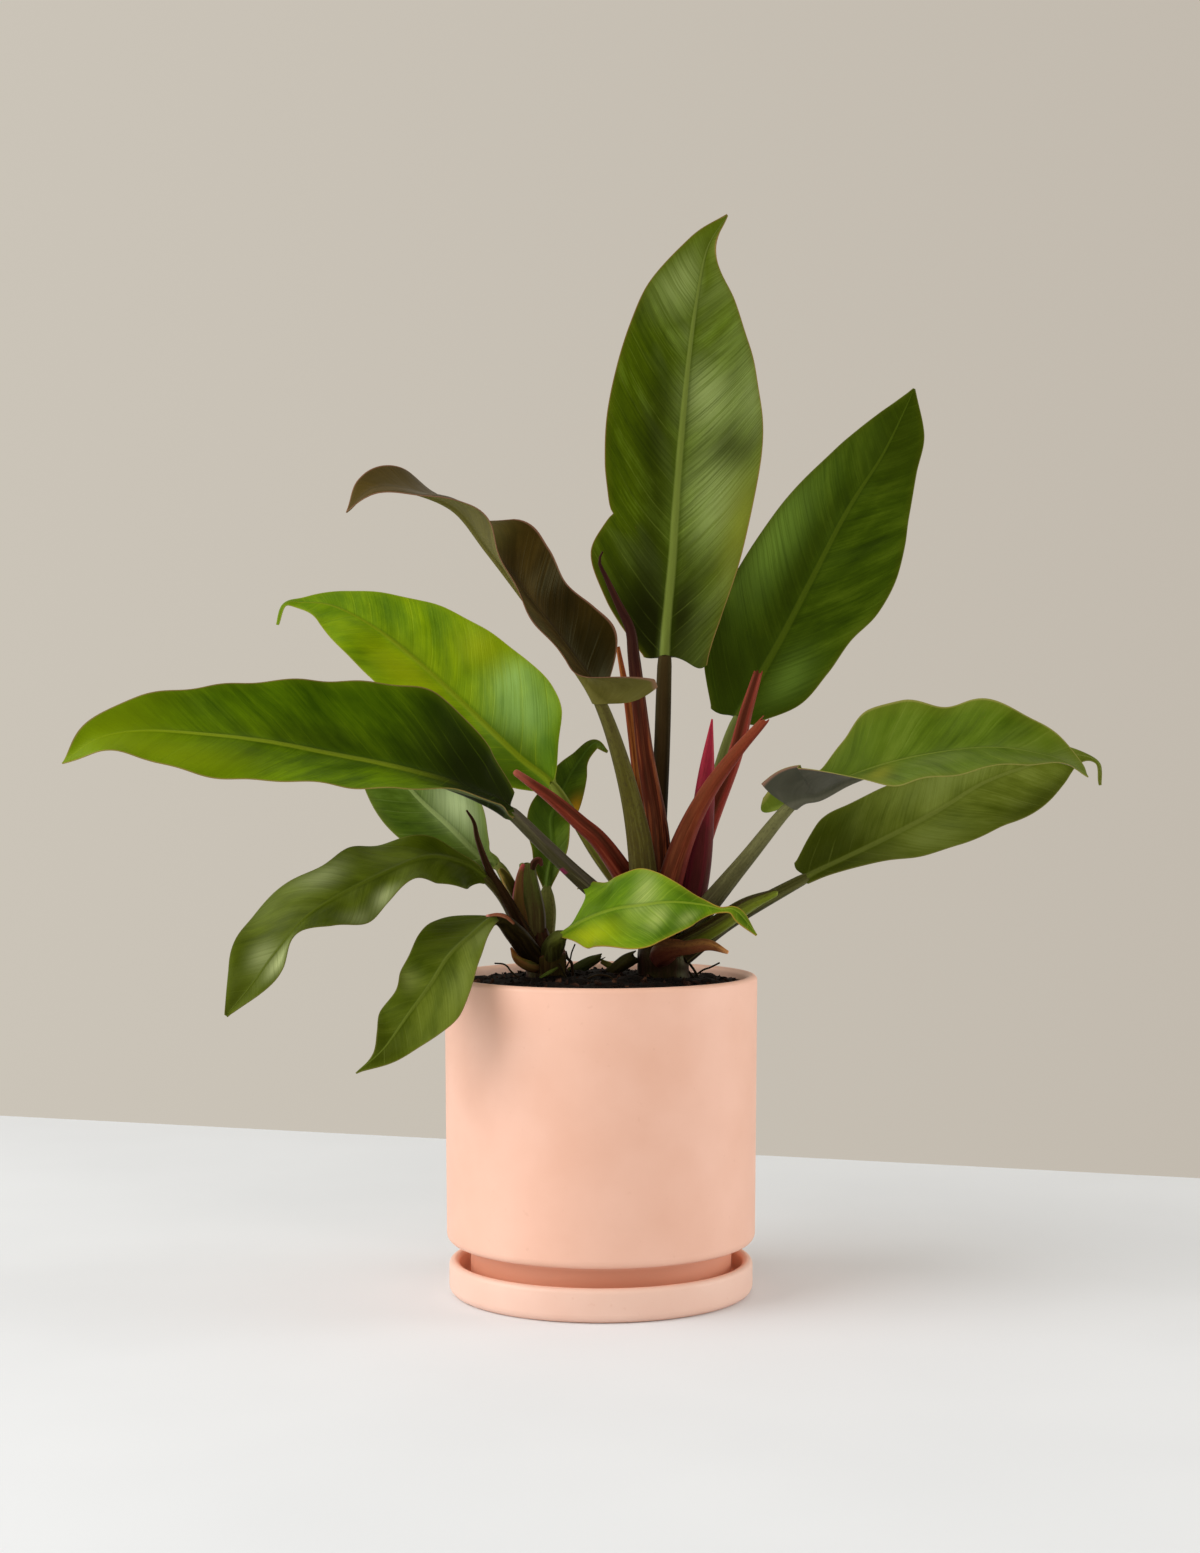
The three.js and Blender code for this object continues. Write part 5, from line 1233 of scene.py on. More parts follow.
# %% Tones and forms
# A patch is its tint, its place along and across the blade, its reach both ways and its amount.
# Pale patches are painted sheen, dark ones painted shade, and warm ones the blade's own yellow.
# A notch of the margin is its side, its place along the blade, its depth in mm and its reach.
LOOKS = {
    "leaf_tall": {
        "form": {"ruffle": 0.8, "quilt": 0.14, "vein_gap": 12, "groove": 0.1,
                 "notches": [(-1, 0.3, 3.5, 0.012)],
                 "patches": [("pale", 0.35, 0.5, 0.12, 0.4, 0.75), ("pale", 0.57, 0.3, 0.08, 0.35, 0.8),
                             ("pale", 0.58, 0.95, 0.12, 0.3, 0.55), ("pale", 0.82, -0.4, 0.07, 0.45, 0.9),
                             ("warm", 0.3, 0.95, 0.12, 0.3, 0.7), ("dark", 0.05, -0.5, 0.12, 0.8, 1.0),
                             ("dark", 0.1, 0.3, 0.08, 0.3, 0.5), ("dark", 0.46, 0.65, 0.05, 0.3, 0.6),
                             ("dark", 0.3, -0.3, 0.2, 0.25, 0.6), ("dark", 0.52, -0.35, 0.1, 0.3, 0.4)]},
        "upper": {"deep": "#2C3C01", "mid": "#3F5002", "light": "#5A701A", "painted_sheen": "#8C9C5E",
                  "lines": 0.3, "sheen_cloud": 0.3, "sheen_cloud_side": 0.25, "base": "#283008", "tip": "#5C6C16",
                  "side": 0.04, "base_amount": 0.75, "dark": "#0C1001", "warm": "#747A22",
                  "rib_amount": 0.85, "rib": "#687632", "vein": "#66742C", "edge": "#565A10",
                  "margin": "#8E6A40"},
        "under": {"deep": "#46521A", "mid": "#5A6628", "light": "#6E7A38"},
        # the stalk goes near black towards its foot: painted shade under the leaves
        "stalk": {"foot": "#130A06", "middle": "#180F08", "top": "#40361E", "streak": "#33281A",
                  "speck": "#20160C", "groove": "#3C2A16", "streaks": 0.35, "shine": 0.06},
    },
    "leaf_right_upright": {
        "form": {"ruffle": 0.8, "quilt": 0.14, "vein_gap": 12, "groove": 0.1,
                 "patches": [("pale", 0.45, -0.85, 0.2, 0.4, 0.9), ("dark", 0.4, -0.2, 0.3, 0.2, 0.6),
                             ("dark", 0.08, -0.6, 0.1, 0.4, 0.7), ("pale", 0.14, 0.5, 0.08, 0.3, 0.8),
                             ("dark", 0.85, 0.3, 0.15, 0.8, 0.5)]},
        "upper": {"deep": "#1F3002", "mid": "#304303", "light": "#45580C", "painted_sheen": "#64802E",
                  "sheen_cloud": 0.15, "sheen_cloud_side": -0.12, "base": "#293A06", "tip": "#2E3802",
                  "dark": "#1E2A00", "rib_amount": 0.45, "rib": "#4E5E12", "vein": "#42560E",
                  "edge": "#444C08", "margin": "#6A6830"},
        "under": {"deep": "#3E4A1A", "mid": "#525E2A", "light": "#66723A"},
        "stalk": {"foot": "#4A2418", "middle": "#5E5C30", "top": "#687838", "streak": "#78804A",
                  "speck": "#463820", "groove": "#4E5428"},
    },
    "leaf_bronze": {
        "form": {"ruffle": 0.7, "quilt": 0.14, "vein_gap": 13, "groove": 0.08,
                 "patches": [("warm", 0.0, -0.9, 0.05, 0.4, 0.5), ("warm", 0.57, 0.2, 0.06, 0.8, 0.95),
                             ("pale", 0.78, 0.0, 0.12, 1.5, 0.8), ("dark", 0.12, 0.6, 0.1, 0.5, 0.8),
                             ("pale", 0.3, -0.8, 0.15, 0.4, 0.5)]},
        "upper": {"deep": "#180E01", "mid": "#2A1C04", "light": "#40300E", "painted_sheen": "#504628",
                  "sheen_cloud": 0.15, "sheen_cloud_side": -0.1, "base": "#2A1E08", "tip": "#5C4C20",
                  "base_amount": 0.5, "dark": "#130C01", "warm": "#5E5A2C",
                  "rib": "#3E3614", "vein": "#3E3010", "edge": "#3A2A0C", "margin": "#8E6450",
                  "rib_amount": 0.5, "vein_amount": 0.2, "edge_amount": 0.25},
        "under": {"deep": "#444014", "mid": "#5A5424", "light": "#726C38", "margin": "#94685A"},
        "stalk": {"foot": "#362616", "middle": "#4E481C", "top": "#58522C", "streak": "#6E6A36",
                  "speck": "#3C3220", "groove": "#605A3A", "specks": 0.6, "streaks": 0.3},
    },
    "leaf_wavy_right": {
        "form": {"ruffle": 1.2, "quilt": 0.16, "vein_gap": 12, "groove": 0.1,
                 "patches": [("pale", 0.92, -0.3, 0.05, 0.6, 0.6),
                             ("warm", 0.34, 0.6, 0.04, 0.5, 0.7), ("pale", 0.5, 0.4, 0.12, 0.4, 0.4)]},
        "upper": {"deep": "#384C07", "mid": "#4C6210", "light": "#5D7120", "painted_sheen": "#76844A",
                  "sheen_cloud": 0.25, "sheen_cloud_side": 0.15, "base": "#48521E", "tip": "#525E10",
                  "dark": "#45453A", "warm": "#84862C", "rib": "#707E30", "vein": "#6C7C2C",
                  "edge": "#646C1A", "margin": "#8E864A"},
        "under": {"deep": "#35362E", "mid": "#46463C", "light": "#5A584C", "margin": "#A87C68"},
        "stalk": {"foot": "#30201E", "middle": "#585636", "top": "#6E6E46", "streak": "#7A7850",
                  "speck": "#46442C", "groove": "#5A5A36", "specks": 0.6, "streaks": 0.25},
    },
    "leaf_right_low": {
        "form": {"ruffle": 0.8, "quilt": 0.14, "vein_gap": 12, "groove": 0.15,
                 "patches": [("dark", 0.08, 0.0, 0.15, 1.5, 0.85), ("dark", 0.7, 0.95, 0.2, 0.35, 0.8),
                             ("pale", 0.5, -0.6, 0.2, 0.5, 0.5), ("pale", 0.38, 0.5, 0.1, 0.4, 0.4)]},
        "upper": {"deep": "#424E08", "mid": "#5A661C", "light": "#6E7A30", "painted_sheen": "#788644",
                  "sheen_cloud": 0.3, "sheen_cloud_side": -0.1, "base": "#2E3606", "tip": "#505C14",
                  "base_amount": 0.6, "dark": "#272F02", "rib_amount": 0.5,
                  "rib": "#6E7834", "vein": "#6C7630", "edge": "#4E5612", "margin": "#74723A"},
        "under": {"deep": "#4A5220", "mid": "#5C6430", "light": "#70763E"},
        "stalk": {"foot": "#241214", "middle": "#38361A", "top": "#505028", "streak": "#62623A",
                  "speck": "#2A2816", "groove": "#33310F"},
    },
    "leaf_lime": {
        "form": {"ruffle": 0.7, "quilt": 0.16, "vein_gap": 13, "groove": 0.12,
                 "patches": [("pale", 0.2, 0.5, 0.09, 0.4, 0.75), ("pale", 0.3, 0.7, 0.05, 0.3, 0.65),
                             ("dark", 0.1, -0.6, 0.16, 0.5, 0.8), ("warm", 0.5, -0.4, 0.18, 0.5, 0.7),
                             ("warm", 0.42, 0.75, 0.08, 0.35, 0.7),
                             ("dark", 0.12, 0.05, 0.12, 0.25, 0.6)]},
        "upper": {"deep": "#426202", "mid": "#5C7A02", "light": "#789202", "painted_sheen": "#86AA5A",
                  "sheen_cloud": 0.06, "base": "#456A1C", "tip": "#4C6C02",
                  "dark": "#344504", "warm": "#7E8A02", "base_amount": 0.5, "tip_amount": 0.8,
                  "rib": "#6A780A", "vein": "#88980E", "edge": "#70840A", "margin": "#8E8E2E"},
        "under": {"deep": "#5A7418", "mid": "#6E882A", "light": "#86A03E"},
        "stalk": {"foot": "#4A2A14", "middle": "#52521A", "top": "#627026", "streak": "#7E8838",
                  "speck": "#42341A", "groove": "#3A4410"},
    },
    "leaf_left_long": {
        "form": {"ruffle": 0.8, "quilt": 0.14, "vein_gap": 14, "groove": 0.3,
                 "patches": [("dark", 0.08, 0.5, 0.18, 0.8, 0.9), ("dark", 0.03, -0.4, 0.14, 0.8, 0.8),
                             ("warm", 0.72, -0.7, 0.14, 0.5, 0.7),
                             ("dark", 0.45, 0.2, 0.2, 0.3, 0.5), ("pale", 0.18, -0.9, 0.06, 0.3, 0.6),
                             ("warm", 0.9, 0.0, 0.12, 1.5, 0.6)]},
        "upper": {"deep": "#304A01", "mid": "#486402", "light": "#628004", "painted_sheen": "#788C3A",
                  "sheen_cloud": 0.12, "sheen_cloud_side": -0.1, "base": "#1C2606", "tip": "#6E8606", "side": -0.07,
                  "dark": "#182104", "warm": "#6E8203", "rib_first": True,
                  "rib_amount": 0.95, "rib": "#7C8E1C", "vein": "#60780C", "edge": "#5C7206",
                  "margin": "#94744A", "base_amount": 0.8},
        "under": {"deep": "#46561E", "mid": "#5A6A2C", "light": "#6E7C3E", "margin": "#B08A62"},
        "stalk": {"foot": "#32241A", "middle": "#403C26", "top": "#54503A", "streak": "#66604A",
                  "speck": "#302A1A", "groove": "#5C5450", "blotch": 0.5},
    },
    "leaf_left_back": {
        "form": {"ruffle": 0.6, "quilt": 0.16, "vein_gap": 12, "groove": 0.1,
                 "patches": [("pale", 0.3, 0.5, 0.16, 0.45, 0.9), ("dark", 0.1, -0.6, 0.12, 0.6, 0.8)]},
        "upper": {"deep": "#263A04", "mid": "#3A500A", "light": "#526A22", "painted_sheen": "#98A878",
                  "lines": 0.16, "sheen_cloud": 0.3, "sheen_cloud_side": 0.3, "base": "#36420C", "tip": "#42500E",
                  "side": 0.05, "dark": "#202803", "rib_first": True, "rib": "#76864A",
                  "vein": "#76864A", "edge": "#5A6820", "margin": "#74743E"},
        "under": {"deep": "#46521C", "mid": "#5A662C", "light": "#6E7A3C"},
        "stalk": {"foot": "#3A2E18", "middle": "#484A1A", "top": "#5A6228", "streak": "#6E743A",
                  "speck": "#3C3418", "groove": "#464A1C"},
    },
    "leaf_left_curly": {
        "form": {"ruffle": 1.2, "quilt": 0.14, "vein_gap": 12, "groove": 0.1,
                 "patches": [("pale", 0.79, -0.55, 0.06, 0.4, 1.0), ("pale", 0.4, -0.85, 0.04, 0.3, 0.9),
                             ("pale", 0.52, 0.75, 0.08, 0.35, 0.5), ("pale", 0.51, -0.9, 0.05, 0.3, 0.4),
                             ("dark", 0.95, 0.3, 0.08, 0.6, 0.8),
                             ("pale", 0.8, 0.25, 0.05, 0.3, 0.5)]},
        "upper": {"deep": "#303C04", "mid": "#434F08", "light": "#566414", "painted_sheen": "#A6B07A",
                  "lines": 0.14, "sheen_cloud": 0.08, "sheen_cloud_side": 0.05, "base": "#2E3803", "tip": "#46520A",
                  "dark": "#2A3300", "rib": "#4E5A14", "vein": "#4C5812", "edge": "#4A560E",
                  "margin": "#62602A"},
        "under": {"deep": "#3E4A16", "mid": "#525E24", "light": "#687434"},
        "stalk": {"foot": "#28140C", "middle": "#362814", "top": "#46461C", "streak": "#56542A",
                  "speck": "#20140A", "groove": "#2C2410"},
    },
    "leaf_left_droop": {
        "form": {"ruffle": 1.0, "quilt": 0.14, "vein_gap": 11, "groove": 0.1,
                 "patches": [("pale", 0.12, -0.6, 0.12, 0.6, 0.8), ("dark", 0.8, 0.0, 0.2, 1.5, 0.4),
                             ("pale", 0.52, 0.7, 0.06, 0.4, 0.7),
                             ("pale", 0.45, -0.8, 0.15, 0.4, 0.5), ("dark", 0.2, 0.6, 0.15, 0.5, 0.7),
                             ("dark", 0.9, -0.5, 0.1, 1.0, 0.6)]},
        "upper": {"deep": "#324002", "mid": "#4B590F", "light": "#626F20", "painted_sheen": "#7E8A42",
                  "lines": 0.14, "sheen_cloud": 0.2, "sheen_cloud_side": -0.1, "base": "#4E5A1A", "tip": "#444E0C",
                  "side": -0.08, "dark": "#2E3700", "rib": "#5E6A24", "vein": "#5C6824",
                  "edge": "#525E14", "margin": "#706A34"},
        "under": {"deep": "#3E4A18", "mid": "#525E28", "light": "#687438"},
        "stalk": {"foot": "#1C120A", "middle": "#231A0A", "top": "#38341A", "streak": "#3A3016",
                  "speck": "#120C06", "groove": "#2A2210"},
    },
    "leaf_back_hook": {
        "form": {"ruffle": 0.6, "quilt": 0.2, "vein_gap": 10, "groove": 0.1,
                 "patches": [("warm", 0.5, 0.98, 0.07, 0.4, 1.0), ("pale", 0.12, 0.7, 0.1, 0.4, 0.6)]},
        "upper": {"deep": "#2A3E0A", "mid": "#3A500C", "light": "#526A16", "painted_sheen": "#5E7038",
                  "sheen_cloud": 0.2, "base": "#263406", "tip": "#3E480E",
                  "warm": "#C08A1C", "rib": "#48601A", "vein": "#46601A", "edge": "#4E5C14",
                  "margin": "#7A6A24"},
        "under": {"deep": "#34421A", "mid": "#485628", "light": "#5C6A36"},
        "stalk": {"foot": "#4A3C18", "middle": "#565426", "top": "#56642A", "streak": "#74703A",
                  "speck": "#3A2E18", "groove": "#4E5226", "specks": 0.7, "rims": 0.85,
                  "rim": "#7E8A34", "grooves": 0.5},
    },
    "leaf_front": {
        "form": {"ruffle": 0.7, "quilt": 0.18, "vein_gap": 9, "groove": 0.1,
                 "patches": [("dark", 0.68, -0.6, 0.11, 0.6, 0.9), ("dark", 0.62, 0.85, 0.07, 0.35, 0.8),
                             ("pale", 0.45, -0.35, 0.07, 0.6, 0.8), ("pale", 0.55, 0.35, 0.05, 0.3, 0.75),
                             ("pale", 0.68, 0.6, 0.04, 0.3, 0.7), ("warm", 0.22, 0.65, 0.16, 0.4, 0.9),
                             ("dark", 0.2, -0.5, 0.07, 0.35, 0.5), ("dark", 0.94, 0.0, 0.09, 1.5, 1.0)]},
        "upper": {"deep": "#345602", "mid": "#4E7206", "light": "#6E8E10", "painted_sheen": "#A2B262",
                  "sheen_cloud": 0.08, "sheen_cloud_side": -0.1, "base": "#6A8A12", "tip": "#54701A",
                  "dark": "#345206", "warm": "#98A60C", "rib_amount": 0.5, "rib": "#84982A",
                  "vein": "#86A02C", "edge": "#8A981E", "margin": "#A8763A",
                  "base_amount": 0.5, "specks": 0.8},
        "under": {"deep": "#5E7420", "mid": "#70862E", "light": "#86983E", "margin": "#B87E36"},
        "stalk": {"foot": "#33281A", "middle": "#3C3C18", "top": "#6A742A", "streak": "#5E6430",
                  "speck": "#2A2010", "groove": "#3E4418"},
    },
}
print("leaves with tones:", len(LOOKS))


# %% Grow the leaves
def under_tone(upper, under):
    """The underside takes the upper side's table, with its own tones over it"""
    tone = {**upper, "painted_sheen": under["light"], "sheen_cloud": 0.2, "base": under["mid"], "tip": under["mid"],
            "rib": under["light"], "vein": under["light"], "edge": under["mid"], "gloss": 0.5,
            "shine": 0.25, "base_amount": 0.3, "side": 0.0}
    return {**tone, **under}


def grow_leaf(number, node):
    """Make one leaf from its lists and tones, as one piece with its stalk"""
    look, shape = LOOKS[node], LEAVES[node]
    axis = Axis(shape["stalk"] + shape["rib"], shape["face"])
    base = axis.share_of_point(len(shape["stalk"]) - 1)
    axis.face_from = base
    leaf = {**shape, **look["form"], "axis": axis, "base_share": base, "number": number,
            "seed": 1.7 * number}
    name = node.replace("leaf_", "") + "_leaf"
    gap = look["form"]["vein_gap"]
    under = under_tone(look["upper"], look["under"])
    skins = (leaf_skin(name + "_upper_skin", {**look["upper"], "vein_gap": gap}),
             leaf_skin(name + "_underside", {**under, "vein_gap": gap}))
    blade = make_blade(name, leaf, skins)
    stalk = make_stalk(name + "_stalk", leaf)
    stalk.data.materials.append(stalk_skin(name + "_stalk_skin", look["stalk"]))
    bpy.ops.object.select_all(action="DESELECT")
    stalk.select_set(True)
    blade.select_set(True)
    bpy.context.view_layer.objects.active = blade
    bpy.ops.object.join()
    smooth_below(60)
    finish_piece(blade, SLOTS[node], node)
    return blade


SLOTS = {row["node"]: row["material_slot"] for row in frame["record"]["subparts"]}
for number, node in enumerate(LEAVES):
    blade = grow_leaf(number, node)
    print(blade.name, "is", round(LEAVES[node]["rib"][-1][2]), "mm up at its tip,",
          len(blade.data.polygons), "faces")

# %% [markdown]
# ## Bud sheaths and crowns
#
# Every new leaf grows inside a red bud sheath, which dries and is cut when the leaf is out.
# Each is rolled like a stalk, with a groove down its face and a keel at both sides of it.
# Cut ones end open: the last rings turn back into the tube. Pointed ones close to a tip.

# %% Forms and tones of the sheaths
# Groove, keel and ridges are shares of the radius. Torn is how ragged a cut end is, from 0 to 1.
SHEATH_LOOKS = {
    "young_leaf": {
        "form": {"groove": 0.25, "keel": 0.12, "ridges": 0.07, "tip": "point"},
        "skin": {"foot": "#301010", "middle": "#541E16", "top": "#2A0E14", "streak": "#8C4A2C",
                 "speck": "#280E0C", "groove": "#340F0C", "streaks": 0.65, "grooves": 0.6,
                 "top_amount": 0.85},
    },
    "sheath_behind": {
        "form": {"groove": 0.3, "keel": 0.12, "ridges": 0.05, "tip": "point"},
        "skin": {"foot": "#3A140E", "middle": "#622216", "top": "#7E3A1E", "streak": "#A0622E",
                 "speck": "#32140A", "groove": "#4A2C10", "streaks": 0.65, "rims": 0.7,
                 "rim": "#7A2420"},
    },
    "bud_crimson": {
        "form": {"groove": 0.04, "keel": 0.03, "ridges": 0.02, "tip": "point"},
        "skin": {"foot": "#1E080E", "middle": "#50151F", "top": "#AC2442", "streak": "#6E1E2C",
                 "speck": "#40121A", "groove": "#64202A", "streaks": 0.3, "grooves": 0.2},
    },
    "sheath_tall": {
        "form": {"groove": 0.34, "keel": 0.1, "ridges": 0.03, "tip": "cut"},
        "skin": {"foot": "#561818", "middle": "#7E2A26", "top": "#7A2E26", "streak": "#9A4638",
                 "speck": "#421810", "groove": "#34100C", "streaks": 0.4, "grooves": 0.8},
    },
    "sheath_near": {
        "form": {"groove": 0.14, "keel": 0.05, "ridges": 0.02, "tip": "cut"},
        "skin": {"foot": "#341210", "middle": "#6A2C1C", "top": "#8A3C2A", "streak": "#88462E",
                 "speck": "#34140E", "groove": "#4E2418", "streaks": 0.35, "grooves": 0.3,
                 "rims": 0.35, "rim": "#7A2228"},
    },
    "sheath_left": {
        "form": {"groove": 0.4, "keel": 0.14, "ridges": 0.03, "tip": "round"},
        "skin": {"foot": "#521812", "middle": "#722A1E", "top": "#84382C", "streak": "#944A36",
                 "speck": "#34140E", "groove": "#280E08", "streaks": 0.4, "grooves": 0.6,
                 "end": "#A85A4C", "end_amount": 0.7},
    },
    "bract_base": {
        "form": {"groove": 0.1, "keel": 0.1, "ridges": 0.05, "tip": "point"},
        "skin": {"foot": "#1C0A10", "middle": "#74482A", "top": "#A87440", "streak": "#8A6238",
                 "speck": "#2A1414", "groove": "#4E2C1C", "specks": 0.4, "streaks": 0.3,
                 "end": "#D0925E", "end_amount": 0.9, "rims": 0.5, "rim": "#5E2022"},
    },
    "sheath_right": {
        "form": {"groove": 0.35, "keel": 0.14, "ridges": 0.02, "tip": "round"},
        "skin": {"foot": "#261016", "middle": "#3E3C18", "top": "#5A641E", "streak": "#5C6428",
                 "speck": "#3A2A18", "groove": "#2A1E0C", "grooves": 0.9, "rims": 0.5,
                 "rim": "#7C8C24"},
    },
    "stub_side": {
        "form": {"groove": 0.22, "keel": 0.12, "ridges": 0.05, "tip": "cut", "torn": 0.35},
        "skin": {"foot": "#2A1610", "middle": "#454420", "top": "#667A32", "streak": "#6A6A38",
                 "speck": "#462820", "groove": "#4A3424", "specks": 0.35, "rims": 0.4,
                 "rim": "#4E2A24"},
    },
    "spike_dry": {
        "form": {"groove": 0.25, "keel": 0.12, "ridges": 0.06, "tip": "point"},
        "skin": {"foot": "#22140C", "middle": "#30170F", "top": "#44241A", "streak": "#5A3A2A",
                 "speck": "#1A0A08", "groove": "#1C0C08", "grooves": 0.7},
    },
    "bract_side": {
        "form": {"groove": 0.2, "keel": 0.12, "ridges": 0.05, "tip": "round"},
        "skin": {"foot": "#2E2814", "middle": "#46491C", "top": "#8A4E22", "streak": "#6A6628",
                 "speck": "#3A2014", "groove": "#7A4420", "grooves": 0.5, "rims": 0.4,
                 "rim": "#8A5636"},
    },
}
print("sheaths with tones:", len(SHEATH_LOOKS))

# %% Roll a sheath
# A cut sheath has dried into uneven lips, so its last rings slide along it by their angle, and
# three more rings turn back into it. A round tip is closed with four more rings that follow a
# quarter circle.
SHEATH_SIDES, SHEATH_RINGS = 28, 60
LIPS_MM, MIN_RADIUS = 9, 0.35
INWARD, BACK_MM = np.array([0.8, 0.66, 0.5]), [0.0, 2.5, 6.0]
QUARTER = np.array([0.45, 0.85, 1.2, 1.45])


def jagged(shares, length, angle, seed):
    """How far in mm each point slides back along a dried, torn end"""
    near_end = np.clip(1 - (1 - shares) * length / LIPS_MM, 0, 1)[:, None] ** 2
    lips = 2.6 * np.abs(np.sin(1.5 * angle + seed)) + 0.8 * np.sin(5 * angle + 2 * seed)
    return -near_end * lips[None, :]


def roll_sheath(name, seed, shape, form, skin, sides=SHEATH_SIDES, rings=SHEATH_RINGS):
    axis = Axis(shape["path"], [shape["face"]])
    shares = np.linspace(0, 1, rings)
    radius = np.maximum(along(shape["radius"], shares), MIN_RADIUS)
    back = np.zeros(rings)
    if form["tip"] == "cut":
        shares = np.append(shares, [1] * len(INWARD))
        radius = np.append(radius, radius[-1] * INWARD)
        back = np.append(back, BACK_MM)
    if form["tip"] == "round":
        shares = np.append(shares, [1] * len(QUARTER))
        back = np.append(back, -radius[-1] * np.sin(QUARTER))
        radius = np.append(radius, radius[-1] * np.cos(QUARTER))
    centres, tangents, normals, rights = axis.frame(shares)
    centres = centres - tangents * back[:, None]
    angle = math.tau * np.arange(sides) / sides
    up = np.clip(np.sin(angle), 0, 1)
    fade = (1 - 0.75 * shares ** 3)[:, None]
    keel = form["keel"] * np.exp(-((np.sin(angle) - 0.55) / 0.2) ** 2)
    groove = form["groove"] * up ** 5 - keel
    ridges = form["ridges"] * np.sin(5 * angle + seed)
    reach = radius[:, None] * (1 - groove * fade + ridges * fade)
    slide = 0.0
    if form["tip"] == "cut":
        slide = form.get("torn", 1.0) * jagged(shares, axis.length, angle, seed)
    far = shares * axis.length - back
    grain = far + GRAIN_APART * seed
    piece = roll(name, centres, rights, normals, reach, grain, shares, slide)
    piece.data.materials.append(stalk_skin(name + "_skin", skin))
    smooth_below(55)
    return piece


for number, (node, shape) in enumerate(SHEATHS.items()):
    look = SHEATH_LOOKS[node]
    sheath = roll_sheath(node + "_finished", 20 + number, shape, look["form"], look["skin"])
    finish_piece(sheath, SLOTS[node], node)
    print(sheath.name, len(sheath.data.polygons), "faces")

# %% [markdown]
# ## Old leaf bases and roots
#
# A plant like this never looks swept clean. Round the side crown stand a short olive sheath,
# the wing and the dried lip of the cut stub, the collar of an old leaf and the pink edge of
# another. Between the crowns lie stubs that fell, and thin dark roots come out of the mix.
# All are rolled like the sheaths, with their own short paths.

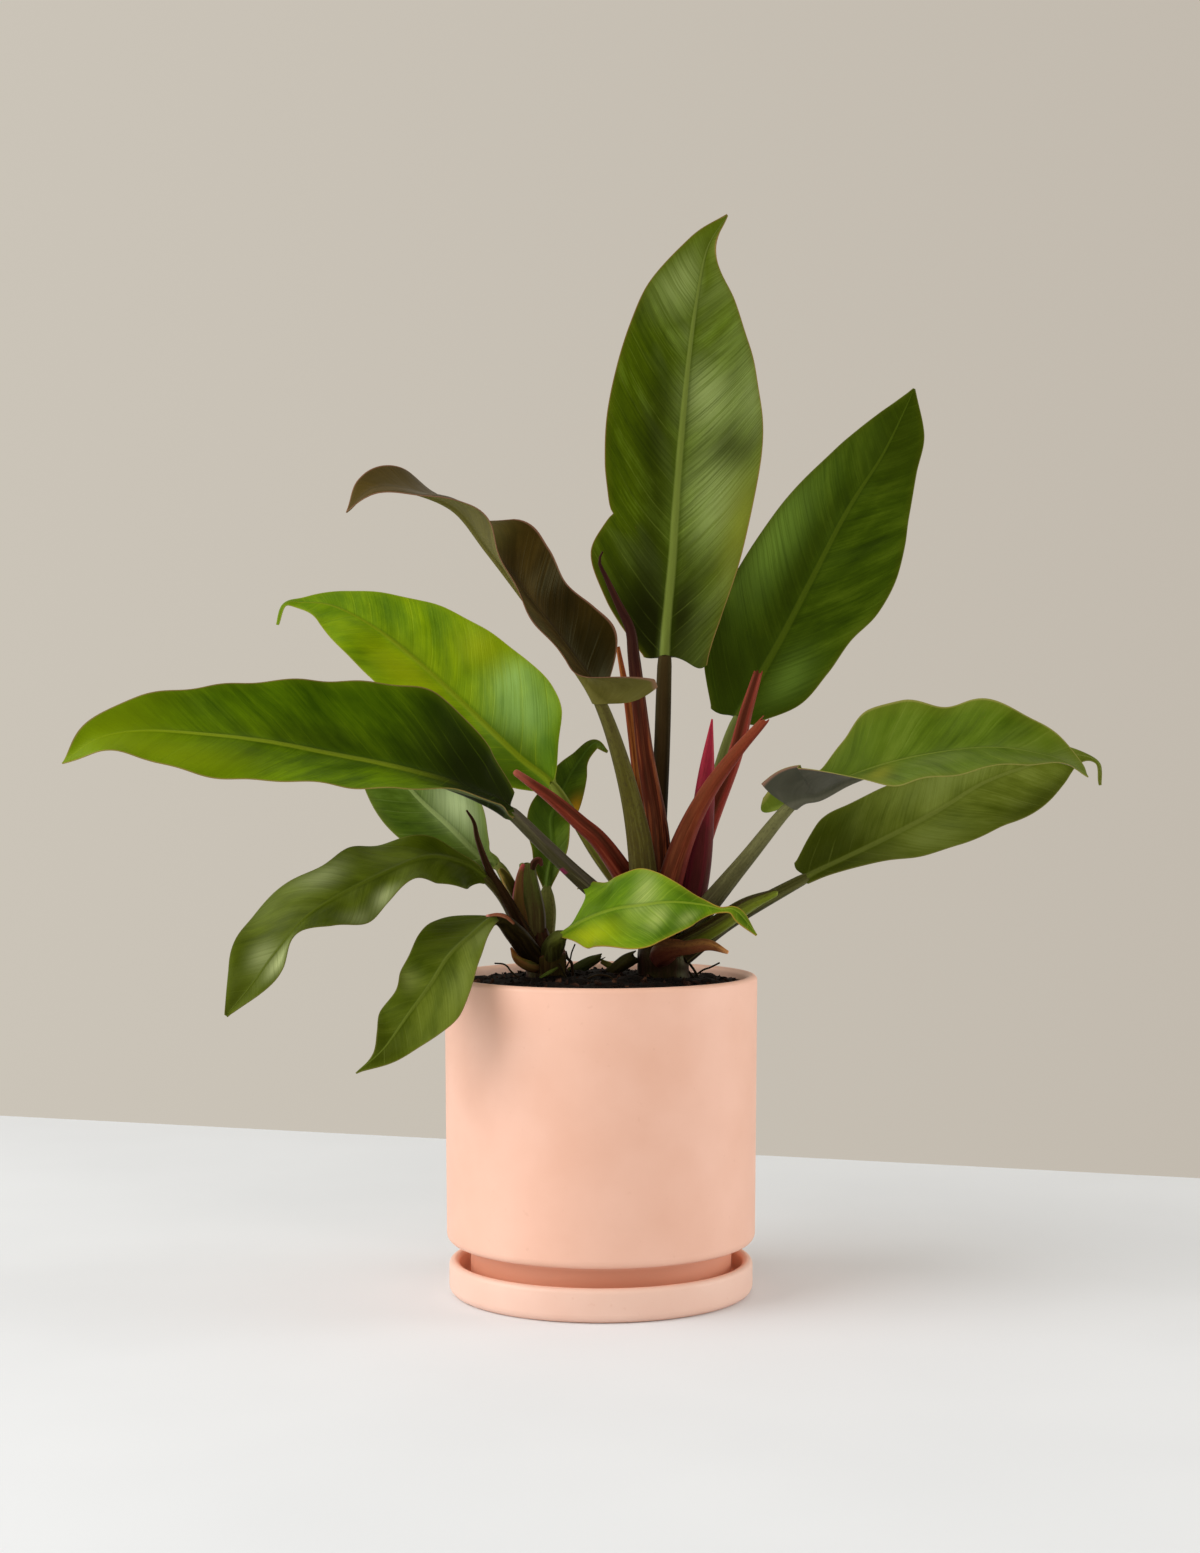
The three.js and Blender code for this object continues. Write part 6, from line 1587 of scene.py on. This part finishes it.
# %% Old leaf bases
OLD_BASES = {
    "short_olive_sheath": {
        "path": [(-46, 8, 221), (-51, 7, 230), (-55.4, 6, 238), (-57.6, 6, 241)],
        "radius": [3.2, 3.7, 3.4, 2], "face": (0.3, -1, 0.3), "tip": "round",
        "skin": {"foot": "#38301A", "middle": "#4A4418", "top": "#6A5A20", "streak": "#7A7030",
                 "groove": "#2E2A0E", "speck": "#2E2812", "grooves": 0.8, "rims": 0.8,
                 "rim": "#8E6A24"},
    },
    "wing_of_the_stub": {
        "path": [(-44, 0, 208), (-47.5, 0, 222), (-47.3, 0, 233), (-46.2, 0, 241), (-45, 0, 244.5)],
        "radius": [2.6, 3.4, 3.2, 2.4, 1.2], "face": (0.2, -1, 0), "tip": "round",
        "skin": {"foot": "#3A1A16", "middle": "#5A4020", "top": "#7A4A34", "streak": "#7A5E2A",
                 "groove": "#4E4018", "speck": "#4A2A1A", "rims": 0.8, "rim": "#7E3040",
                 "end": "#B04450", "end_amount": 0.8},
    },
    "dried_lip_of_the_stub": {
        "path": [(-40, 5, 242), (-38.4, 5, 246), (-35.8, 5, 247.4), (-34.6, 5, 245)],
        "radius": [1.7, 2.1, 1.9, 1.2], "face": (0, -1, 0), "tip": "round",
        "skin": {"foot": "#2A1612", "middle": "#3E1C18", "top": "#5A2A24", "streak": "#7A4A3E",
                 "groove": "#1E0E0A", "speck": "#1A0C0A"},
    },
    "pink_edge_of_a_leaf_base": {
        "path": [(-49, -34, 213.4), (-53, -36, 217), (-58, -37, 218.6), (-64, -37, 218)],
        "radius": [0.7, 1.0, 1.0, 0.7], "face": (0, -1, 0.3), "tip": "round",
        "skin": {"foot": "#5A3220", "middle": "#7A4030", "top": "#94503E", "streak": "#B07A5A",
                 "groove": "#6A2A22", "speck": "#5A2A1E", "end": "#E09A90", "end_amount": 0.8},
    },
    "collar_of_an_old_leaf": {
        "path": [(-28.5, -1, 180), (-28.8, -2, 189), (-29, -3, 196.5)],
        "radius": [7.6, 8.2, 8.6], "face": (0.5, -1, 0.2), "tip": "cut",
        "skin": {"foot": "#2E1C12", "middle": "#402E1A", "top": "#4E4420", "streak": "#585228",
                 "groove": "#332E16", "speck": "#1A120A", "end": "#6E3A34", "end_amount": 0.8},
    },
    "fallen_green_stub": {
        "path": [(-18, 24, 180), (-11, 24, 184), (-4, 23, 188), (1.4, 22, 191)],
        "radius": [3, 3.4, 3, 1.8], "face": (0, -0.8, 0.6), "tip": "cut",
        "skin": {"foot": "#1E2010", "middle": "#30351A", "top": "#3A2A18", "streak": "#4A5226",
                 "groove": "#20200E", "speck": "#16120A"},
    },
    "fallen_olive_strip": {
        "path": [(0, 22, 187.4), (4.7, 22, 185), (10, 22, 182.6)],
        "radius": [1.2, 1.8, 1.4], "face": (0, -0.8, 0.6), "tip": "round",
        "skin": {"foot": "#5A5424", "middle": "#66622A", "top": "#4A4420", "streak": "#84803E",
                 "groove": "#3E3A18", "speck": "#2A2410"},
    },
    "leaning_brown_stub": {
        "path": [(5, 6, 181.5), (10, 5, 185.5), (15, 4, 189), (21, 4, 192)],
        "radius": [2.8, 3.6, 4, 3.6], "face": (-0.3, -0.8, 0.5), "tip": "cut",
        "skin": {"foot": "#20160A", "middle": "#2E2610", "top": "#36301A", "streak": "#44421E",
                 "groove": "#1E140A", "speck": "#1A120A"},
    },
    "green_sliver": {
        "path": [(-35, -14, 181), (-29.7, -14, 184), (-24.6, -14, 187)],
        "radius": [0.6, 1.1, 0.6], "face": (0, -0.9, 0.5), "tip": "point",
        "skin": {"foot": "#4A5A1E", "middle": "#505E22", "top": "#3A3E18", "streak": "#6A7830",
                 "groove": "#3E4A1A", "speck": "#2A2E12"},
    },
}
OLD_SIDES, OLD_RINGS = 20, 26
OLD_FORM = {"groove": 0.2, "keel": 0.12, "ridges": 0.07}
for number, (name, shape) in enumerate(OLD_BASES.items()):
    piece = roll_sheath(name, 40 + number, shape, {**OLD_FORM, "tip": shape["tip"]}, shape["skin"],
                        OLD_SIDES, OLD_RINGS)
    finish_piece(piece, "brown_stem")
print("old leaf bases:", len(OLD_BASES))

# %% Thin roots
# Each is given by its path and its thickness, as a radius.
ROOT_SIDES, ROOT_RINGS = 8, 22
ROOTS = [
    ([(-61, -10, 189), (-56.1, -10, 188.6), (-53.3, -11, 187), (-51.5, -12, 184.6),
      (-45, -14, 179)], 0.45),
    ([(-15, 3, 199), (-17, 3, 194), (-17.9, 3, 190), (-20.6, 3, 184), (-22, 2, 178)], 0.42),
    ([(-20.6, 1, 195), (-19.4, 1, 191), (-17, 0, 188), (-16, 0, 179)], 0.8),
    ([(-24, -12, 189), (-21.7, -13, 184.6), (-19, -14, 179)], 0.55),
    ([(69, 10, 187.6), (63.3, 10, 184.8), (59.2, 9, 183.4), (53, 8, 179)], 0.5),
    ([(48, 9, 191), (52.3, 8, 186), (54.6, 8, 182.6), (57, 8, 178)], 0.65),
    ([(46, 5, 188), (50, 5, 184), (54, 5, 179)], 0.5),
    ([(-8, -20, 181), (-2, -22, 183.4), (5, -24, 182.6), (9, -27, 178)], 0.5),
]
ROOT_SKIN = {"foot": "#1A0F0A", "middle": "#1E120C", "top": "#140C08", "streak": "#3A241A",
             "groove": "#1A0F0A", "speck": "#0C0604"}
ROOT_FORM = {"groove": 0.0, "keel": 0.0, "ridges": 0.04, "tip": "round"}
for number, (path, thick) in enumerate(ROOTS):
    shape = {"path": path, "radius": [thick, 1.15 * thick, thick], "face": (0, -1, 0.2)}
    root = roll_sheath(f"thin_root_{number + 1}", 60 + number, shape, ROOT_FORM, ROOT_SKIN,
                       ROOT_SIDES, ROOT_RINGS)
    finish_piece(root, "brown_stem")
print("roots:", len(ROOTS))


# %% [markdown]
# The crowns are the old stems from which the leaves grow. Their skin is brown and corky,
# with a ring of scars for each leaf that fell, so each is a roll with uneven rings.

# %% Crowns
# A scar comes every 14 mm, which is pi times SCAR_MM. The cork has lumps of 9 and of 3.5 mm.
CROWN_RINGS, CROWN_SIDES = 48, 36
SCAR_MM, CORK_RADIUS = 4.5, 12
CROWN_GRAIN_APART = 900
BARK = {"foot": "#140A08", "middle": "#1E0F0C", "top": "#3A1A16", "streak": "#30191A",
        "speck": "#100806", "groove": "#2A1610", "specks": 0.5, "grooves": 0.0, "shine": 0.2}


def make_crown(node, foot, top, radii, seed):
    rings, sides = CROWN_RINGS, CROWN_SIDES
    shares = np.linspace(0, 1, rings)
    centres = np.array(foot) + shares[:, None] * (np.array(top) - np.array(foot))
    angle = math.tau * np.arange(sides) / sides
    right, up = np.array([1.0, 0, 0]), np.array([0, 1.0, 0])
    spots = np.stack([np.repeat(centres[:, 2], sides), np.tile(np.cos(angle) * CORK_RADIUS, rings),
                      np.tile(np.sin(angle) * CORK_RADIUS, rings)], -1)
    cork = 0.5 * ripple(spots, 9, seed) + 0.3 * ripple(spots, 3.5, seed + 1)
    scars = 0.5 * np.abs(np.sin(centres[:, 2] / SCAR_MM))[:, None]
    reach = along(radii, shares)[:, None] - 0.9 + cork.reshape(rings, sides) + scars
    grain = centres[:, 2] + CROWN_GRAIN_APART * seed
    piece = roll(node + "_finished", centres, np.tile(right, (rings, 1)), np.tile(up, (rings, 1)),
                 np.maximum(reach, 0.5), grain, shares)
    piece.data.materials.append(stalk_skin(node + "_bark", BARK))
    smooth_below(50)
    finish_piece(piece, SLOTS[node], node)
    print(piece.name, "is about", 2 * max(radii), "mm wide and ends", top[2], "mm up")


make_crown("main_stem", (37, 8, 140), (35, 6, 222), [12, 15.5, 16, 13.5, 6], 5)
make_crown("side_stem", (-31, 8, 145), (-35, 6, 208), [8, 10, 11, 9, 4], 6)

# %% Sizes of the CAD model and of the finished pieces
dressed_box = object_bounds()
sizes = {"cad": [list(corner) for corner in cad_box],
         "visual": [list(corner) for corner in dressed_box]}
for label, (low, high) in (("CAD", cad_box), ("finished", dressed_box)):
    print(label, "size in mm:", [round((b - a) / MM, 1) for a, b in zip(low, high)])
